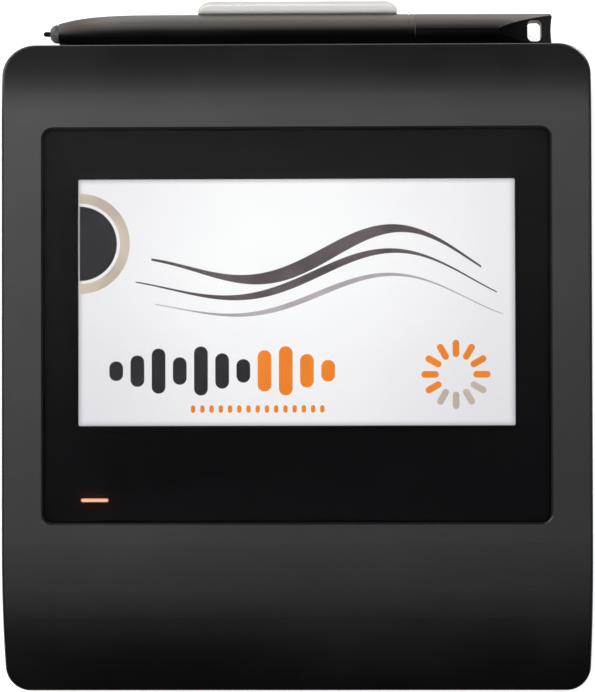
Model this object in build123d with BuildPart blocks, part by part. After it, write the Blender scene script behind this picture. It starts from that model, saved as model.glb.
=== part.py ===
from build123d import *
from math import cos, radians, sin
import os

# Signature pad with a colour screen, and its pen in a holder along the rear edge.
# Millimetres, +Z up, +Y away from the writer. The origin is on the table, under the middle.
# A place "up" the face is measured from the middle of the pane, "depth" is measured under the face.

# Housing: borders round the pane, then a roll down to each end, its run along the face and its drop under it.
side_border = 10.6
front_border = 5.3
rear_border = 1.9
front_roll_run = 38.16
front_roll_drop = 13.7
rear_roll_run = 20.2
rear_roll_drop = 4.25
front_wall_height = 1.3
face_tilt = 7.0
roll_sweep = 60.0
front_corner_radius = 5.8
rear_corner_radius = 8.3
least_corner_radius = 0.5
housing_wall = 2.6
rim_radius = 0.9
foot_proud = 1.2
base_thickness = 2.0
base_chamfer = 0.8

# Pane, its printed frame and the screen's window
window_width = 111.0
window_height = 62.7
glass_side_border = 8.9
glass_top_border = 12.75
glass_bottom_border = 24.55
glass_thickness = 1.1
glass_corner_radius = 2.4
glass_edge_chamfer = 0.15
glass_gap = 0.2
glass_sink = 0.25
glass_rim_chamfer = 0.35
film_thickness = 0.2
film_margin = 0.2
window_corner_radius = 0.4
ledge_margin = 1.5

# Indicator left of the bare place under the screen
led_inset = 0.6
led_rise = 5.7
led_slot_width = 7.05
led_slot_height = 0.95
pipe_width = 7.6
pipe_height = 1.6
pipe_gap = 0.15
pipe_length = 3.45
led_body_width = 3.2
led_body_height = 1.6
led_body_thickness = 1.0
led_board_width = 16.0
led_board_height = 6.0
led_board_thickness = 1.0
led_boss_radius = 1.6
led_screw_offset = 6.2
led_flex_offset = 5.35
led_flex_width = 5.0

# Screen module and pen sensor, stacked under the pane
gasket_thickness = 0.5
lcd_side_margin = 3.5
lcd_top_margin = 2.15
lcd_bottom_margin = 5.15
lcd_thickness = 1.5
guide_thickness = 1.6
tray_wall = 0.4
tray_gap = 0.15
sensor_margin = 1.0
sensor_thickness = 0.8
shield_thickness = 0.3

# Carrier that holds the stack to the top housing
carrier_gap = 0.3
carrier_wall = 1.2
carrier_headroom = 0.6
carrier_screw_x = 35.0
carrier_ear_radius = 3.6
carrier_ear_reach = 4.1
carrier_boss_radius = 2.4
carrier_pilot_depth = 4.4
carrier_window_width = 30.0
carrier_window_height = 24.0
carrier_window_pitch_x = 37.0
carrier_window_pitch_up = 30.0
carrier_windows_across = 3
carrier_windows_up = 2

# Flexible leads from the screen, the sensor and the indicator to the main board
flex_thickness = 0.3
flex_bend_radius = 2.0
flex_reach = 5.0
lcd_flex_x = 10.0
lcd_flex_width = 20.0
sensor_flex_x = -15.0
sensor_flex_width = 12.0
flex_slot_gap = 1.0

# Screws with a cross recess
cross_length_share = 1.15
cross_width_share = 0.3
cross_depth_share = 0.55
thread_gap = 0.06
hole_gap = 0.2
housing_screw_radius = 1.5
housing_head_radius = 2.75
housing_head_height = 2.0
housing_screw_length = 9.8
small_screw_radius = 1.0
small_head_radius = 1.9
small_head_height = 1.3
ballast_head_radius = 3.0
carrier_screw_length = 5.2
board_screw_length = 3.4
ballast_screw_length = 2.8
holder_screw_length = 7.0
lock_screw_length = 3.2
tiny_screw_radius = 0.75
tiny_head_radius = 1.4
tiny_head_height = 1.0
led_screw_length = 3.6

# Posts and bosses that join the base to the top housing
housing_screw_side_inset = 9.0
housing_screw_front_inset = 21.0
housing_screw_rear_inset = 10.0
housing_post_height = 5.8
housing_boss_radius = 3.2
housing_post_radius = 3.6
housing_pilot_depth = 6.0
counterbore_depth = 3.0
locating_rim_gap = 0.2
locating_rim_thickness = 1.4
locating_rim_height = 3.0
locating_rim_setback = 9.0

# Main board
board_width = 100.0
board_depth = 62.0
board_side_setback = 15.0
board_rear_setback = 22.0
board_lift = 1.0
board_thickness = 1.6
board_screw_inset = 4.0
standoff_radius = 2.5
connector_depth = 5.0
connector_height = 2.2
connector_margin = 2.0
connector_setback = 0.5
processor_size = 14.0
processor_height = 1.2
memory_width = 11.0
memory_depth = 8.0
power_chip_size = 6.0
clock_width = 5.0
clock_depth = 3.2
chip_height = 1.0
capacitor_radius = 3.1
capacitor_height = 5.2
coil_size = 7.0
coil_height = 3.2
chip_rounding = 0.4

# Cable inlet
usb_side_inset = 30.0
usb_width = 9.0
usb_height = 3.2
usb_depth = 7.4
usb_corner_radius = 1.2
usb_shell_wall = 0.3
usb_mouth_depth = 6.0
usb_tongue_width = 6.6
usb_tongue_thickness = 0.7
usb_tongue_length = 4.6
usb_wall_gap = 0.3
usb_window_gap = 0.3
usb_board_width = 22.0
usb_rim_gap = 2.0

# Lock slot in the right side
lock_rear_inset = 32.0
lock_rise = 11.8
lock_slot_length = 7.2
lock_slot_width = 3.2
lock_slot_gap = 0.1
lock_plate_length = 18.0
lock_plate_height = 9.0
lock_plate_thickness = 1.5
lock_screw_inset = 2.6
lock_pilot_depth = 1.9

# Ballast on the base floor
ballast_side_inset = 28.0
ballast_front_inset = 19.0
ballast_board_gap = 10.0
ballast_thickness = 2.0
ballast_screw_inset = 9.0
ballast_stud_radius = 2.2
ballast_clamp = 0.1
ballast_pilot_depth = 3.0

# Feet and the bare rating plate
foot_radius = 6.0
foot_recess = 0.8
foot_gap = 0.15
foot_rounding = 0.4
foot_side_inset = 17.0
foot_front_inset = 13.0
foot_rear_inset = 16.0
plate_width = 56.0
plate_height = 26.0
plate_thickness = 0.3
plate_corner_radius = 1.5

# Pen: places along it are measured from the nib's tip
pen_length = 132.5
pen_radius = 4.9
pen_rise = 14.8
pen_wall_gap = 1.75
nib_radius = 0.65
nib_gap = 0.08
nib_travel = 0.6
nib_stop_gap = 0.1
collar_start = 1.85
collar_front_radius = 1.2
collar_round_share = 0.6
collar_round_radius = 2.2
collar_length = 2.25
collar_radius = 2.4
collar_plug_length = 3.9
collar_plug_gap = 0.06
barrel_start_radius = 2.7
grip_length = 34.0
grip_power = 4.5
grip_shares = (0.0, 0.06, 0.16, 0.34, 0.62, 1.0)
front_bore_radius = 2.1
front_bore_length = 9.9
bore_radius = 3.4
cap_length = 35.65
seam_radius = 4.86
seam_chamfer = 0.12
groove_setback = 1.6
groove_width = 0.3
groove_depth = 0.15
cap_end_radius = 4.78
cap_end_round = 0.5
cap_plug_length = 7.0
cap_plug_gap = 0.08
scoop_length = 14.9
scoop_middle = 7.1
scoop_middle_height = 3.85
web_half_thickness = 2.35
eyelet_inset = 4.7
eyelet_length = 3.65
eyelet_width = 5.5
eyelet_corner_radius = 1.3
end_dish_radius = 20.0
end_dish_depth = 0.45

# Inside the pen
ferrite_place = 8.2
ferrite_length = 13.8
ferrite_radius = 1.55
coil_gap = 0.05
coil_wall = 0.35
coil_place = 9.0
coil_length = 12.0
cell_place = 24.0
cell_length = 6.0
cell_gap = 0.1
cell_sleeve_length = 2.5
pen_board_width = 6.4
pen_board_end_gap = 29.85
pen_board_thickness = 0.8

# Pen holder
holder_width = 52.0
holder_thickness = 2.0
holder_tray_gap = 0.35
lip_turn = 45.0
lip_bend_radius = 1.6
lip_length = 1.3
lip_corner_radius = 3.4
lip_edge_radius = 0.35
tongue_reach = 15.0
holder_screw_x = 18.0
holder_screw_reach = 10.0
holder_post_radius = 3.0
holder_pilot_depth = 6.6
notch_gap = 0.2

# Shared by all cuts and tests
overrun = 1.0
tolerance = 0.01

# Places worked out from the sizes above
lean = radians(lip_turn)
tilt = radians(face_tilt)
glass_width = window_width + 2 * glass_side_border
glass_height = window_height + glass_top_border + glass_bottom_border
window_up = (glass_bottom_border - glass_top_border) / 2
housing_width = glass_width + 2 * side_border
flat_front = glass_height / 2 + front_border
flat_rear = glass_height / 2 + rear_border
front_roll_radius = (front_roll_run**2 + front_roll_drop**2) / (2 * front_roll_drop)
rear_roll_radius = (rear_roll_run**2 + rear_roll_drop**2) / (2 * rear_roll_drop)
front_reach = (flat_front + front_roll_run) * cos(tilt) - front_roll_drop * sin(tilt)
rear_reach = (flat_rear + rear_roll_run) * cos(tilt) + rear_roll_drop * sin(tilt)
base_bottom = foot_proud
seam_height = foot_proud + base_thickness
front_fall = (flat_front + front_roll_run) * sin(tilt) + front_roll_drop * cos(tilt)
face_height = seam_height + front_wall_height + front_fall
pen_height = seam_height + pen_rise
pen_reach = rear_reach + pen_wall_gap + pen_radius
holder_mid_radius = pen_radius + holder_tray_gap + holder_thickness / 2
lip_reach = lip_bend_radius * (1 - cos(lean)) + lip_length * sin(lean) + holder_thickness / 2 * cos(lean)
holder_reach = pen_reach + holder_mid_radius + lip_reach
face_y = (front_reach - holder_reach) / 2
front_y = face_y - front_reach
rear_y = face_y + rear_reach
plan_depth = rear_reach + front_reach
plan_middle = (front_y + rear_y) / 2
side_x = housing_width / 2
tall = 2 * face_height
normal_angle = 90 + face_tilt
led_x = led_inset + (led_slot_width - window_width) / 2
led_up = led_rise - glass_height / 2
led_flex_x = led_x + led_flex_offset
lcd_width = window_width + 2 * lcd_side_margin
lcd_height = window_height + lcd_top_margin + lcd_bottom_margin
lcd_up = window_up + (lcd_top_margin - lcd_bottom_margin) / 2
sensor_width = lcd_width + 2 * sensor_margin
sensor_height = lcd_height + 2 * sensor_margin
recess_depth = glass_sink + glass_thickness + film_thickness
lcd_top = housing_wall + gasket_thickness
guide_top = lcd_top + lcd_thickness
tray_floor_top = guide_top + guide_thickness
sensor_top = tray_floor_top + tray_wall
shield_top = sensor_top + sensor_thickness
carrier_top = shield_top + shield_thickness
carrier_bottom = carrier_top + carrier_wall
carrier_width = sensor_width + 2 * (carrier_gap + carrier_wall)
carrier_height = sensor_height + 2 * (carrier_gap + carrier_wall)
carrier_screw_up = carrier_height / 2 + carrier_ear_reach
pipe_bottom = recess_depth + pipe_length
led_board_top = pipe_bottom + led_body_thickness
led_board_bottom = led_board_top + led_board_thickness
board_bottom = seam_height + board_lift
board_top = board_bottom + board_thickness
board_x = board_side_setback - side_x + board_width / 2
board_rear = rear_y - board_rear_setback
board_front = board_rear - board_depth
board_middle = (board_front + board_rear) / 2
flex_height = board_top + connector_height / 2
connector_front = board_front + connector_setback
counterbore_top = base_bottom + counterbore_depth
housing_boss_foot = seam_height + housing_post_height
usb_x = usb_side_inset - side_x
pen_y = face_y + pen_reach
seam_place = pen_length - cap_length
eyelet_place = pen_length - eyelet_inset
pen_board_place = cell_place + cell_length
pen_board_length = seam_place - cap_plug_length - pen_board_end_gap - pen_board_place
tongue_bottom = pen_height - holder_mid_radius - holder_thickness / 2
tongue_top = tongue_bottom + holder_thickness
holder_screw_y = rear_y - holder_screw_reach
usb_front = rear_y - housing_wall - usb_wall_gap
lock_y = rear_y - lock_rear_inset
lock_height = seam_height + lock_rise
ballast_front = front_y + ballast_front_inset
ballast_width = housing_width - 2 * ballast_side_inset
ballast_depth = board_front - ballast_board_gap - ballast_front
ballast_y = ballast_front + ballast_depth / 2

housing_screw_spots = [
    (x, y)
    for x in (housing_screw_side_inset - side_x, side_x - housing_screw_side_inset)
    for y in (front_y + housing_screw_front_inset, rear_y - housing_screw_rear_inset)
]
carrier_screw_spots = [
    (x, lcd_up + up)
    for x in (-carrier_screw_x, carrier_screw_x)
    for up in (-carrier_screw_up, carrier_screw_up)
]
led_screw_spots = [(led_x - led_screw_offset, led_up), (led_x + led_screw_offset, led_up)]
board_screw_spots = [
    (board_x + x, y)
    for x in (board_screw_inset - board_width / 2, board_width / 2 - board_screw_inset)
    for y in (board_front + board_screw_inset, board_rear - board_screw_inset)
]
ballast_screw_spots = [
    (x, ballast_y + y)
    for x in (ballast_screw_inset - ballast_width / 2, ballast_width / 2 - ballast_screw_inset)
    for y in (ballast_screw_inset - ballast_depth / 2, ballast_depth / 2 - ballast_screw_inset)
]
holder_screw_spots = [(-holder_screw_x, holder_screw_y), (holder_screw_x, holder_screw_y)]
lock_screw_places = [
    lock_y + lock_screw_inset - lock_plate_length / 2,
    lock_y + lock_plate_length / 2 - lock_screw_inset,
]
foot_spots = [
    (x, y)
    for x in (foot_side_inset - side_x, side_x - foot_side_inset)
    for y in (front_y + foot_front_inset, rear_y - foot_rear_inset)
]


def on_face(up, out):
    """Y and Z of the point that lies up the face and out from it, both in the face's own directions."""
    return face_y + up * cos(tilt) - out * sin(tilt), face_height + up * sin(tilt) + out * cos(tilt)


def face_plane(depth):
    """Plane parallel to the face, at a depth under it. Its x runs along X, and its y up the face."""
    return Plane(origin=(0, *on_face(0, -depth)), x_dir=(1, 0, 0), z_dir=(0, -sin(tilt), cos(tilt)))


def under_face(x, up, depth):
    """Place of a screw that is driven towards the face from below."""
    return face_plane(depth).location * Location((x, up, 0), (180, 0, 0))


def plan_outline(height, inset):
    """The pad's outline from above, drawn at a height and inset from the housing's outside."""
    with BuildSketch(Plane.XY.offset(height)) as outline:
        with Locations((0, plan_middle)):
            Rectangle(housing_width - 2 * inset, plan_depth - 2 * inset)
        fillet(outline.vertices().group_by(Axis.Y)[0], max(front_corner_radius - inset, least_corner_radius))
        fillet(outline.vertices().group_by(Axis.Y)[-1], max(rear_corner_radius - inset, least_corner_radius))
    return outline.sketch


def side_profile(depth):
    """Everything that lies more than a depth under the face and its two rolls, seen from the side."""
    with BuildSketch(Plane.YZ) as profile:
        with BuildLine():
            front = CenterArc(
                on_face(-flat_front, -front_roll_radius), front_roll_radius - depth, normal_angle, roll_sweep
            )
            rear = CenterArc(
                on_face(flat_rear, -rear_roll_radius),
                rear_roll_radius - depth,
                normal_angle - roll_sweep,
                roll_sweep,
            )
            Line(front @ 0, rear @ 1)
            Polyline(front @ 1, ((front @ 1).X, -face_height), ((rear @ 0).X, -face_height), rear @ 0)
        make_face()
    return profile.sketch


def strip_profile(points, x):
    """The section at x, seen from the side, of a lead that follows points with round bends."""
    with BuildSketch(Plane.YZ.offset(x)) as profile:
        with BuildLine():
            FilletPolyline(*points, radius=flex_bend_radius)
        trace(line_width=flex_thickness)
    return profile.sketch


def flex_route(up, depth):
    """Points of a lead from an edge of a layer under the face, down and back to the main board."""
    outer = on_face(up - flex_reach, -depth)
    return [on_face(up, -depth), outer, (outer[0], flex_height), (connector_front, flex_height)]


def cross_screw(head_radius, head_height, shank_radius, shank_length):
    """A pan head screw that points down, with its origin under the head."""
    with BuildPart() as screw:
        Cylinder(head_radius, head_height, align=(Align.CENTER, Align.CENTER, Align.MIN))
        fillet(screw.edges().group_by(Axis.Z)[-1], head_height / 3)
        Cylinder(shank_radius, shank_length, align=(Align.CENTER, Align.CENTER, Align.MAX))
        with BuildSketch(Plane.XY.offset(head_height)):
            Rectangle(head_radius * cross_length_share, head_radius * cross_width_share)
            Rectangle(head_radius * cross_width_share, head_radius * cross_length_share)
        extrude(amount=-head_height * cross_depth_share, mode=Mode.SUBTRACT)
    return screw.part


face_axis = Axis((0, *on_face(0, 0)), (0, -sin(tilt), cos(tilt)))

# Outside and inside of the top housing
with BuildPart() as housing_body:
    extrude(plan_outline(seam_height, 0), amount=tall)
    extrude(side_profile(0), amount=housing_width, both=True, mode=Mode.INTERSECT)
    upright = housing_body.faces().filter_by(lambda face: abs(face.normal_at().Z) < tolerance)
    rim = upright.edges().filter_by(Axis.Z, reverse=True)
    fillet(rim.filter_by_position(Axis.Z, seam_height + tolerance, tall), rim_radius)

with BuildPart() as housing_cavity:
    extrude(plan_outline(0, housing_wall), amount=tall)
    extrude(side_profile(housing_wall), amount=housing_width, both=True, mode=Mode.INTERSECT)

with BuildPart() as housing_bosses:
    with BuildSketch(Plane.XY.offset(housing_boss_foot)):
        with Locations(*housing_screw_spots):
            Circle(housing_boss_radius)
    extrude(amount=tall)
    add(housing_body.part, mode=Mode.INTERSECT)

# Top housing
with BuildPart() as top_housing:
    add(housing_body.part)
    add(housing_cavity.part, mode=Mode.SUBTRACT)
    add(housing_bosses.part)
    with BuildSketch(Plane.XY.offset(housing_boss_foot)):
        with Locations(*housing_screw_spots):
            Circle(housing_screw_radius + thread_gap)
    extrude(amount=housing_pilot_depth, mode=Mode.SUBTRACT)
    with BuildSketch(face_plane(carrier_top)):
        with Locations(*carrier_screw_spots):
            Circle(carrier_boss_radius)
    extrude(amount=carrier_top - housing_wall)
    with BuildSketch(face_plane(carrier_top)):
        with Locations(*carrier_screw_spots):
            Circle(small_screw_radius + thread_gap)
    extrude(amount=carrier_pilot_depth, mode=Mode.SUBTRACT)
    with BuildSketch(face_plane(led_board_top)):
        with Locations(*led_screw_spots):
            Circle(led_boss_radius)
    extrude(amount=led_board_top - housing_wall)
    with BuildSketch(face_plane(led_board_top)):
        with Locations(*led_screw_spots):
            Circle(tiny_screw_radius + thread_gap)
    extrude(amount=led_board_top - housing_wall, mode=Mode.SUBTRACT)
    with BuildSketch(face_plane(0)):
        RectangleRounded(
            glass_width + 2 * glass_gap, glass_height + 2 * glass_gap, glass_corner_radius + glass_gap
        )
    extrude(amount=-recess_depth, mode=Mode.SUBTRACT)
    chamfer(top_housing.edges(Select.LAST).group_by(face_axis)[-1], glass_rim_chamfer)
    with BuildSketch(face_plane(recess_depth)):
        with Locations((0, window_up)):
            Rectangle(window_width + 2 * ledge_margin, window_height + 2 * ledge_margin)
        with Locations((led_x, led_up)):
            Rectangle(pipe_width + 2 * pipe_gap, pipe_height + 2 * pipe_gap)
    extrude(amount=-(housing_wall - recess_depth + overrun), mode=Mode.SUBTRACT)
    with BuildSketch(Plane.XZ.offset(-rear_y - overrun)):
        with Locations((0, seam_height)):
            Rectangle(
                holder_width + 2 * notch_gap,
                tongue_top + notch_gap - seam_height,
                align=(Align.CENTER, Align.MIN),
            )
        with Locations((usb_x, board_top + usb_height / 2)):
            RectangleRounded(
                usb_width + 2 * usb_window_gap,
                usb_height + 2 * usb_window_gap,
                usb_corner_radius + usb_window_gap,
            )
    extrude(amount=housing_wall + 2 * overrun, mode=Mode.SUBTRACT)
    with BuildSketch(Plane.YZ.offset(side_x + overrun)):
        with Locations((lock_y, lock_height)):
            SlotOverall(lock_slot_length + 2 * lock_slot_gap, lock_slot_width + 2 * lock_slot_gap)
    extrude(amount=-housing_wall - 2 * overrun, mode=Mode.SUBTRACT)
    with BuildSketch(Plane.YZ.offset(side_x - housing_wall)):
        with Locations(*[(y, lock_height) for y in lock_screw_places]):
            Circle(small_screw_radius + thread_gap)
    extrude(amount=lock_pilot_depth, mode=Mode.SUBTRACT)
top_housing.part.label = "top_housing"

# Base shell
with BuildPart() as base_shell:
    extrude(plan_outline(base_bottom, 0), amount=base_thickness)
    chamfer(base_shell.edges().group_by(Axis.Z)[0], base_chamfer)
    rim_width = housing_width - 2 * (housing_wall + locating_rim_gap)
    rim_front = front_y + locating_rim_setback
    rim_rear = rear_y - housing_wall - locating_rim_gap
    rim_corner = max(rear_corner_radius - housing_wall - locating_rim_gap, least_corner_radius)
    with BuildSketch(Plane.XY.offset(seam_height)):
        with Locations((0, (rim_front + rim_rear) / 2)):
            RectangleRounded(rim_width, rim_rear - rim_front, rim_corner)
            Rectangle(
                rim_width - 2 * locating_rim_thickness,
                rim_rear - rim_front - 2 * locating_rim_thickness,
                mode=Mode.SUBTRACT,
            )
        with Locations((usb_x, rim_rear)):
            rim_cut = 2 * locating_rim_thickness + tolerance
            Rectangle(usb_board_width + usb_rim_gap, rim_cut, mode=Mode.SUBTRACT)
    extrude(amount=locating_rim_height)
    with BuildSketch(Plane.XY.offset(seam_height)):
        with Locations(*housing_screw_spots):
            Circle(housing_post_radius)
    extrude(amount=housing_boss_foot - seam_height)
    with BuildSketch(Plane.XY.offset(seam_height)):
        with Locations(*holder_screw_spots):
            Circle(holder_post_radius)
        with Locations((0, rear_y)):
            Rectangle(holder_width, housing_wall, align=(Align.CENTER, Align.MAX))
    extrude(amount=tongue_bottom - seam_height)
    with BuildSketch(Plane.XY.offset(seam_height)):
        with Locations(*board_screw_spots):
            Circle(standoff_radius)
    extrude(amount=board_lift)
    with BuildSketch(Plane.XY.offset(seam_height)):
        with Locations(*ballast_screw_spots):
            Circle(ballast_stud_radius)
    extrude(amount=ballast_thickness - ballast_clamp)
    with BuildSketch(Plane.XY.offset(base_bottom)):
        with Locations(*housing_screw_spots):
            Circle(housing_head_radius + hole_gap)
    extrude(amount=counterbore_top - base_bottom, mode=Mode.SUBTRACT)
    with BuildSketch(Plane.XY.offset(base_bottom)):
        with Locations(*housing_screw_spots):
            Circle(housing_screw_radius + hole_gap)
    extrude(amount=tall, mode=Mode.SUBTRACT)
    with BuildSketch(Plane.XY.offset(tongue_bottom)):
        with Locations(*holder_screw_spots):
            Circle(small_screw_radius + thread_gap)
    extrude(amount=-holder_pilot_depth, mode=Mode.SUBTRACT)
    with BuildSketch(Plane.XY.offset(board_bottom)):
        with Locations(*board_screw_spots):
            Circle(small_screw_radius + thread_gap)
    extrude(amount=board_thickness - board_screw_length - hole_gap, mode=Mode.SUBTRACT)
    with BuildSketch(Plane.XY.offset(seam_height + ballast_thickness)):
        with Locations(*ballast_screw_spots):
            Circle(small_screw_radius + thread_gap)
    extrude(amount=-ballast_pilot_depth, mode=Mode.SUBTRACT)
    with BuildSketch(Plane.XY.offset(base_bottom)):
        with Locations(*foot_spots):
            Circle(foot_radius + foot_gap)
    extrude(amount=foot_recess, mode=Mode.SUBTRACT)
    with BuildSketch(Plane.XY.offset(base_bottom)):
        RectangleRounded(plate_width + 2 * foot_gap, plate_height + 2 * foot_gap, plate_corner_radius)
    extrude(amount=plate_thickness, mode=Mode.SUBTRACT)
base_shell.part.label = "base_shell"

# Rubber feet
with BuildPart() as rubber_feet:
    with BuildSketch(Plane.XY):
        with Locations(*foot_spots):
            Circle(foot_radius)
    extrude(amount=foot_proud + foot_recess)
    fillet(rubber_feet.edges().group_by(Axis.Z)[0], foot_rounding)
rubber_feet.part.label = "rubber_feet"

# Rating plate, bare
with BuildPart() as rating_plate:
    with BuildSketch(Plane.XY.offset(base_bottom)):
        RectangleRounded(plate_width, plate_height, plate_corner_radius)
    extrude(amount=plate_thickness)
rating_plate.part.label = "rating_plate"

# Pane
with BuildPart() as cover_glass:
    with BuildSketch(face_plane(glass_sink + glass_thickness)):
        RectangleRounded(glass_width, glass_height, glass_corner_radius)
    extrude(amount=glass_thickness)
    chamfer(cover_glass.edges().group_by(face_axis)[-1], glass_edge_chamfer)
cover_glass.part.label = "cover_glass"

# Black print and adhesive under the pane, open at the screen and at the indicator
with BuildPart() as glass_border_film:
    with BuildSketch(face_plane(recess_depth)):
        RectangleRounded(
            glass_width - 2 * film_margin, glass_height - 2 * film_margin, glass_corner_radius - film_margin
        )
        with Locations((0, window_up)):
            RectangleRounded(window_width, window_height, window_corner_radius, mode=Mode.SUBTRACT)
        with Locations((led_x, led_up)):
            RectangleRounded(led_slot_width, led_slot_height, led_slot_height / 3, mode=Mode.SUBTRACT)
    extrude(amount=film_thickness)
glass_border_film.part.label = "glass_border_film"

# Foam gasket between the ledge and the screen
with BuildPart() as lcd_gasket:
    with BuildSketch(face_plane(lcd_top)):
        with Locations((0, lcd_up)):
            Rectangle(lcd_width, lcd_height)
        with Locations((0, window_up)):
            Rectangle(window_width + 2 * ledge_margin, window_height + 2 * ledge_margin, mode=Mode.SUBTRACT)
    extrude(amount=gasket_thickness)
lcd_gasket.part.label = "lcd_gasket"

# Screen
with BuildPart() as lcd_panel:
    with BuildSketch(face_plane(guide_top)):
        with Locations((0, lcd_up)):
            Rectangle(lcd_width, lcd_height)
    extrude(amount=lcd_thickness)
lcd_panel.part.label = "lcd_panel"

# Light guide behind the screen
with BuildPart() as light_guide:
    with BuildSketch(face_plane(tray_floor_top)):
        with Locations((0, lcd_up)):
            Rectangle(lcd_width, lcd_height)
    extrude(amount=guide_thickness)
light_guide.part.label = "light_guide"

# Metal tray round the screen and the light guide, open where the screen's lead comes out
with BuildPart() as backlight_tray:
    with BuildSketch(face_plane(sensor_top)):
        with Locations((0, lcd_up)):
            Rectangle(lcd_width + 2 * (tray_gap + tray_wall), lcd_height + 2 * (tray_gap + tray_wall))
    extrude(amount=sensor_top - lcd_top)
    with BuildSketch(face_plane(tray_floor_top)):
        with Locations((0, lcd_up)):
            Rectangle(lcd_width + 2 * tray_gap, lcd_height + 2 * tray_gap)
    extrude(amount=tray_floor_top - lcd_top, mode=Mode.SUBTRACT)
    with BuildSketch(face_plane(guide_top)):
        with Locations((lcd_flex_x, lcd_up - lcd_height / 2)):
            Rectangle(lcd_flex_width + flex_slot_gap, 2 * (tray_gap + tray_wall) + flex_slot_gap)
    extrude(amount=lcd_thickness, mode=Mode.SUBTRACT)
backlight_tray.part.label = "backlight_tray"

# Pen sensor and its shield
with BuildPart() as sensor_board:
    with BuildSketch(face_plane(shield_top)):
        with Locations((0, lcd_up)):
            Rectangle(sensor_width, sensor_height)
    extrude(amount=sensor_thickness)
sensor_board.part.label = "sensor_board"

with BuildPart() as sensor_shield:
    with BuildSketch(face_plane(carrier_top)):
        with Locations((0, lcd_up)):
            Rectangle(sensor_width, sensor_height)
    extrude(amount=shield_thickness)
sensor_shield.part.label = "sensor_shield"

# Carrier frame: a tray with four ears, open at the front for the leads
with BuildPart() as carrier_frame:
    with BuildSketch(face_plane(carrier_bottom)):
        with Locations((0, lcd_up)):
            Rectangle(carrier_width, carrier_height)
    extrude(amount=carrier_bottom - housing_wall - carrier_headroom)
    with BuildSketch(face_plane(carrier_top)):
        with Locations((0, lcd_up)):
            Rectangle(sensor_width + 2 * carrier_gap, sensor_height + 2 * carrier_gap)
    extrude(amount=tall, mode=Mode.SUBTRACT)
    with BuildSketch(face_plane(carrier_top)):
        lead_left = sensor_flex_x - sensor_flex_width / 2 - flex_slot_gap
        lead_right = lcd_flex_x + lcd_flex_width / 2 + flex_slot_gap
        with Locations(((lead_left + lead_right) / 2, lcd_up - carrier_height / 2)):
            Rectangle(lead_right - lead_left, 2 * (carrier_wall + tolerance))
    extrude(amount=tall, mode=Mode.SUBTRACT)
    with BuildSketch(face_plane(carrier_bottom)):
        with Locations(*carrier_screw_spots):
            Circle(carrier_ear_radius)
        with Locations((-carrier_screw_x, lcd_up), (carrier_screw_x, lcd_up)):
            Rectangle(2 * carrier_ear_radius, 2 * carrier_screw_up)
    extrude(amount=carrier_wall)
    with BuildSketch(face_plane(carrier_bottom)):
        with Locations((0, lcd_up)):
            with GridLocations(
                carrier_window_pitch_x, carrier_window_pitch_up, carrier_windows_across, carrier_windows_up
            ):
                Rectangle(carrier_window_width, carrier_window_height)
        with Locations(*carrier_screw_spots):
            Circle(small_screw_radius + hole_gap)
    extrude(amount=carrier_wall, mode=Mode.SUBTRACT)
carrier_frame.part.label = "carrier_frame"

# Indicator: light pipe, lamp and its small board
with BuildPart() as led_light_pipe:
    with BuildSketch(face_plane(pipe_bottom)):
        with Locations((led_x, led_up)):
            Rectangle(pipe_width, pipe_height)
    extrude(amount=pipe_length)
led_light_pipe.part.label = "led_light_pipe"

with BuildPart() as status_led:
    with BuildSketch(face_plane(led_board_top)):
        with Locations((led_x, led_up)):
            Rectangle(led_body_width, led_body_height)
    extrude(amount=led_body_thickness)
status_led.part.label = "status_led"

with BuildPart() as led_board:
    with BuildSketch(face_plane(led_board_bottom)):
        with Locations((led_x, led_up)):
            Rectangle(led_board_width, led_board_height)
        with Locations(*led_screw_spots):
            Circle(tiny_screw_radius + hole_gap, mode=Mode.SUBTRACT)
    extrude(amount=led_board_thickness)
led_board.part.label = "led_board"

# Leads
with BuildPart() as lcd_flex:
    lcd_route = flex_route(lcd_up - lcd_height / 2, lcd_top + lcd_thickness / 2)
    extrude(strip_profile(lcd_route, lcd_flex_x), amount=lcd_flex_width / 2, both=True)
lcd_flex.part.label = "lcd_flex"

with BuildPart() as sensor_flex:
    sensor_route = flex_route(lcd_up - sensor_height / 2, sensor_top + sensor_thickness / 2)
    extrude(strip_profile(sensor_route, sensor_flex_x), amount=sensor_flex_width / 2, both=True)
sensor_flex.part.label = "sensor_flex"

with BuildPart() as led_flex:
    led_route = flex_route(led_up - led_board_height / 2, led_board_top + led_board_thickness / 2)
    extrude(strip_profile(led_route, led_flex_x), amount=led_flex_width / 2, both=True)
led_flex.part.label = "led_flex"

# Main board, with an arm that carries the inlet to the rear wall
with BuildPart() as main_board:
    with BuildSketch(Plane.XY.offset(board_bottom)):
        with Locations((board_x, board_middle)):
            Rectangle(board_width, board_depth)
        with Locations((usb_x, usb_front)):
            Rectangle(usb_board_width, usb_front - board_middle, align=(Align.CENTER, Align.MAX))
        with Locations(*board_screw_spots):
            Circle(small_screw_radius + hole_gap, mode=Mode.SUBTRACT)
    extrude(amount=board_thickness)
main_board.part.label = "main_board"

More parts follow.
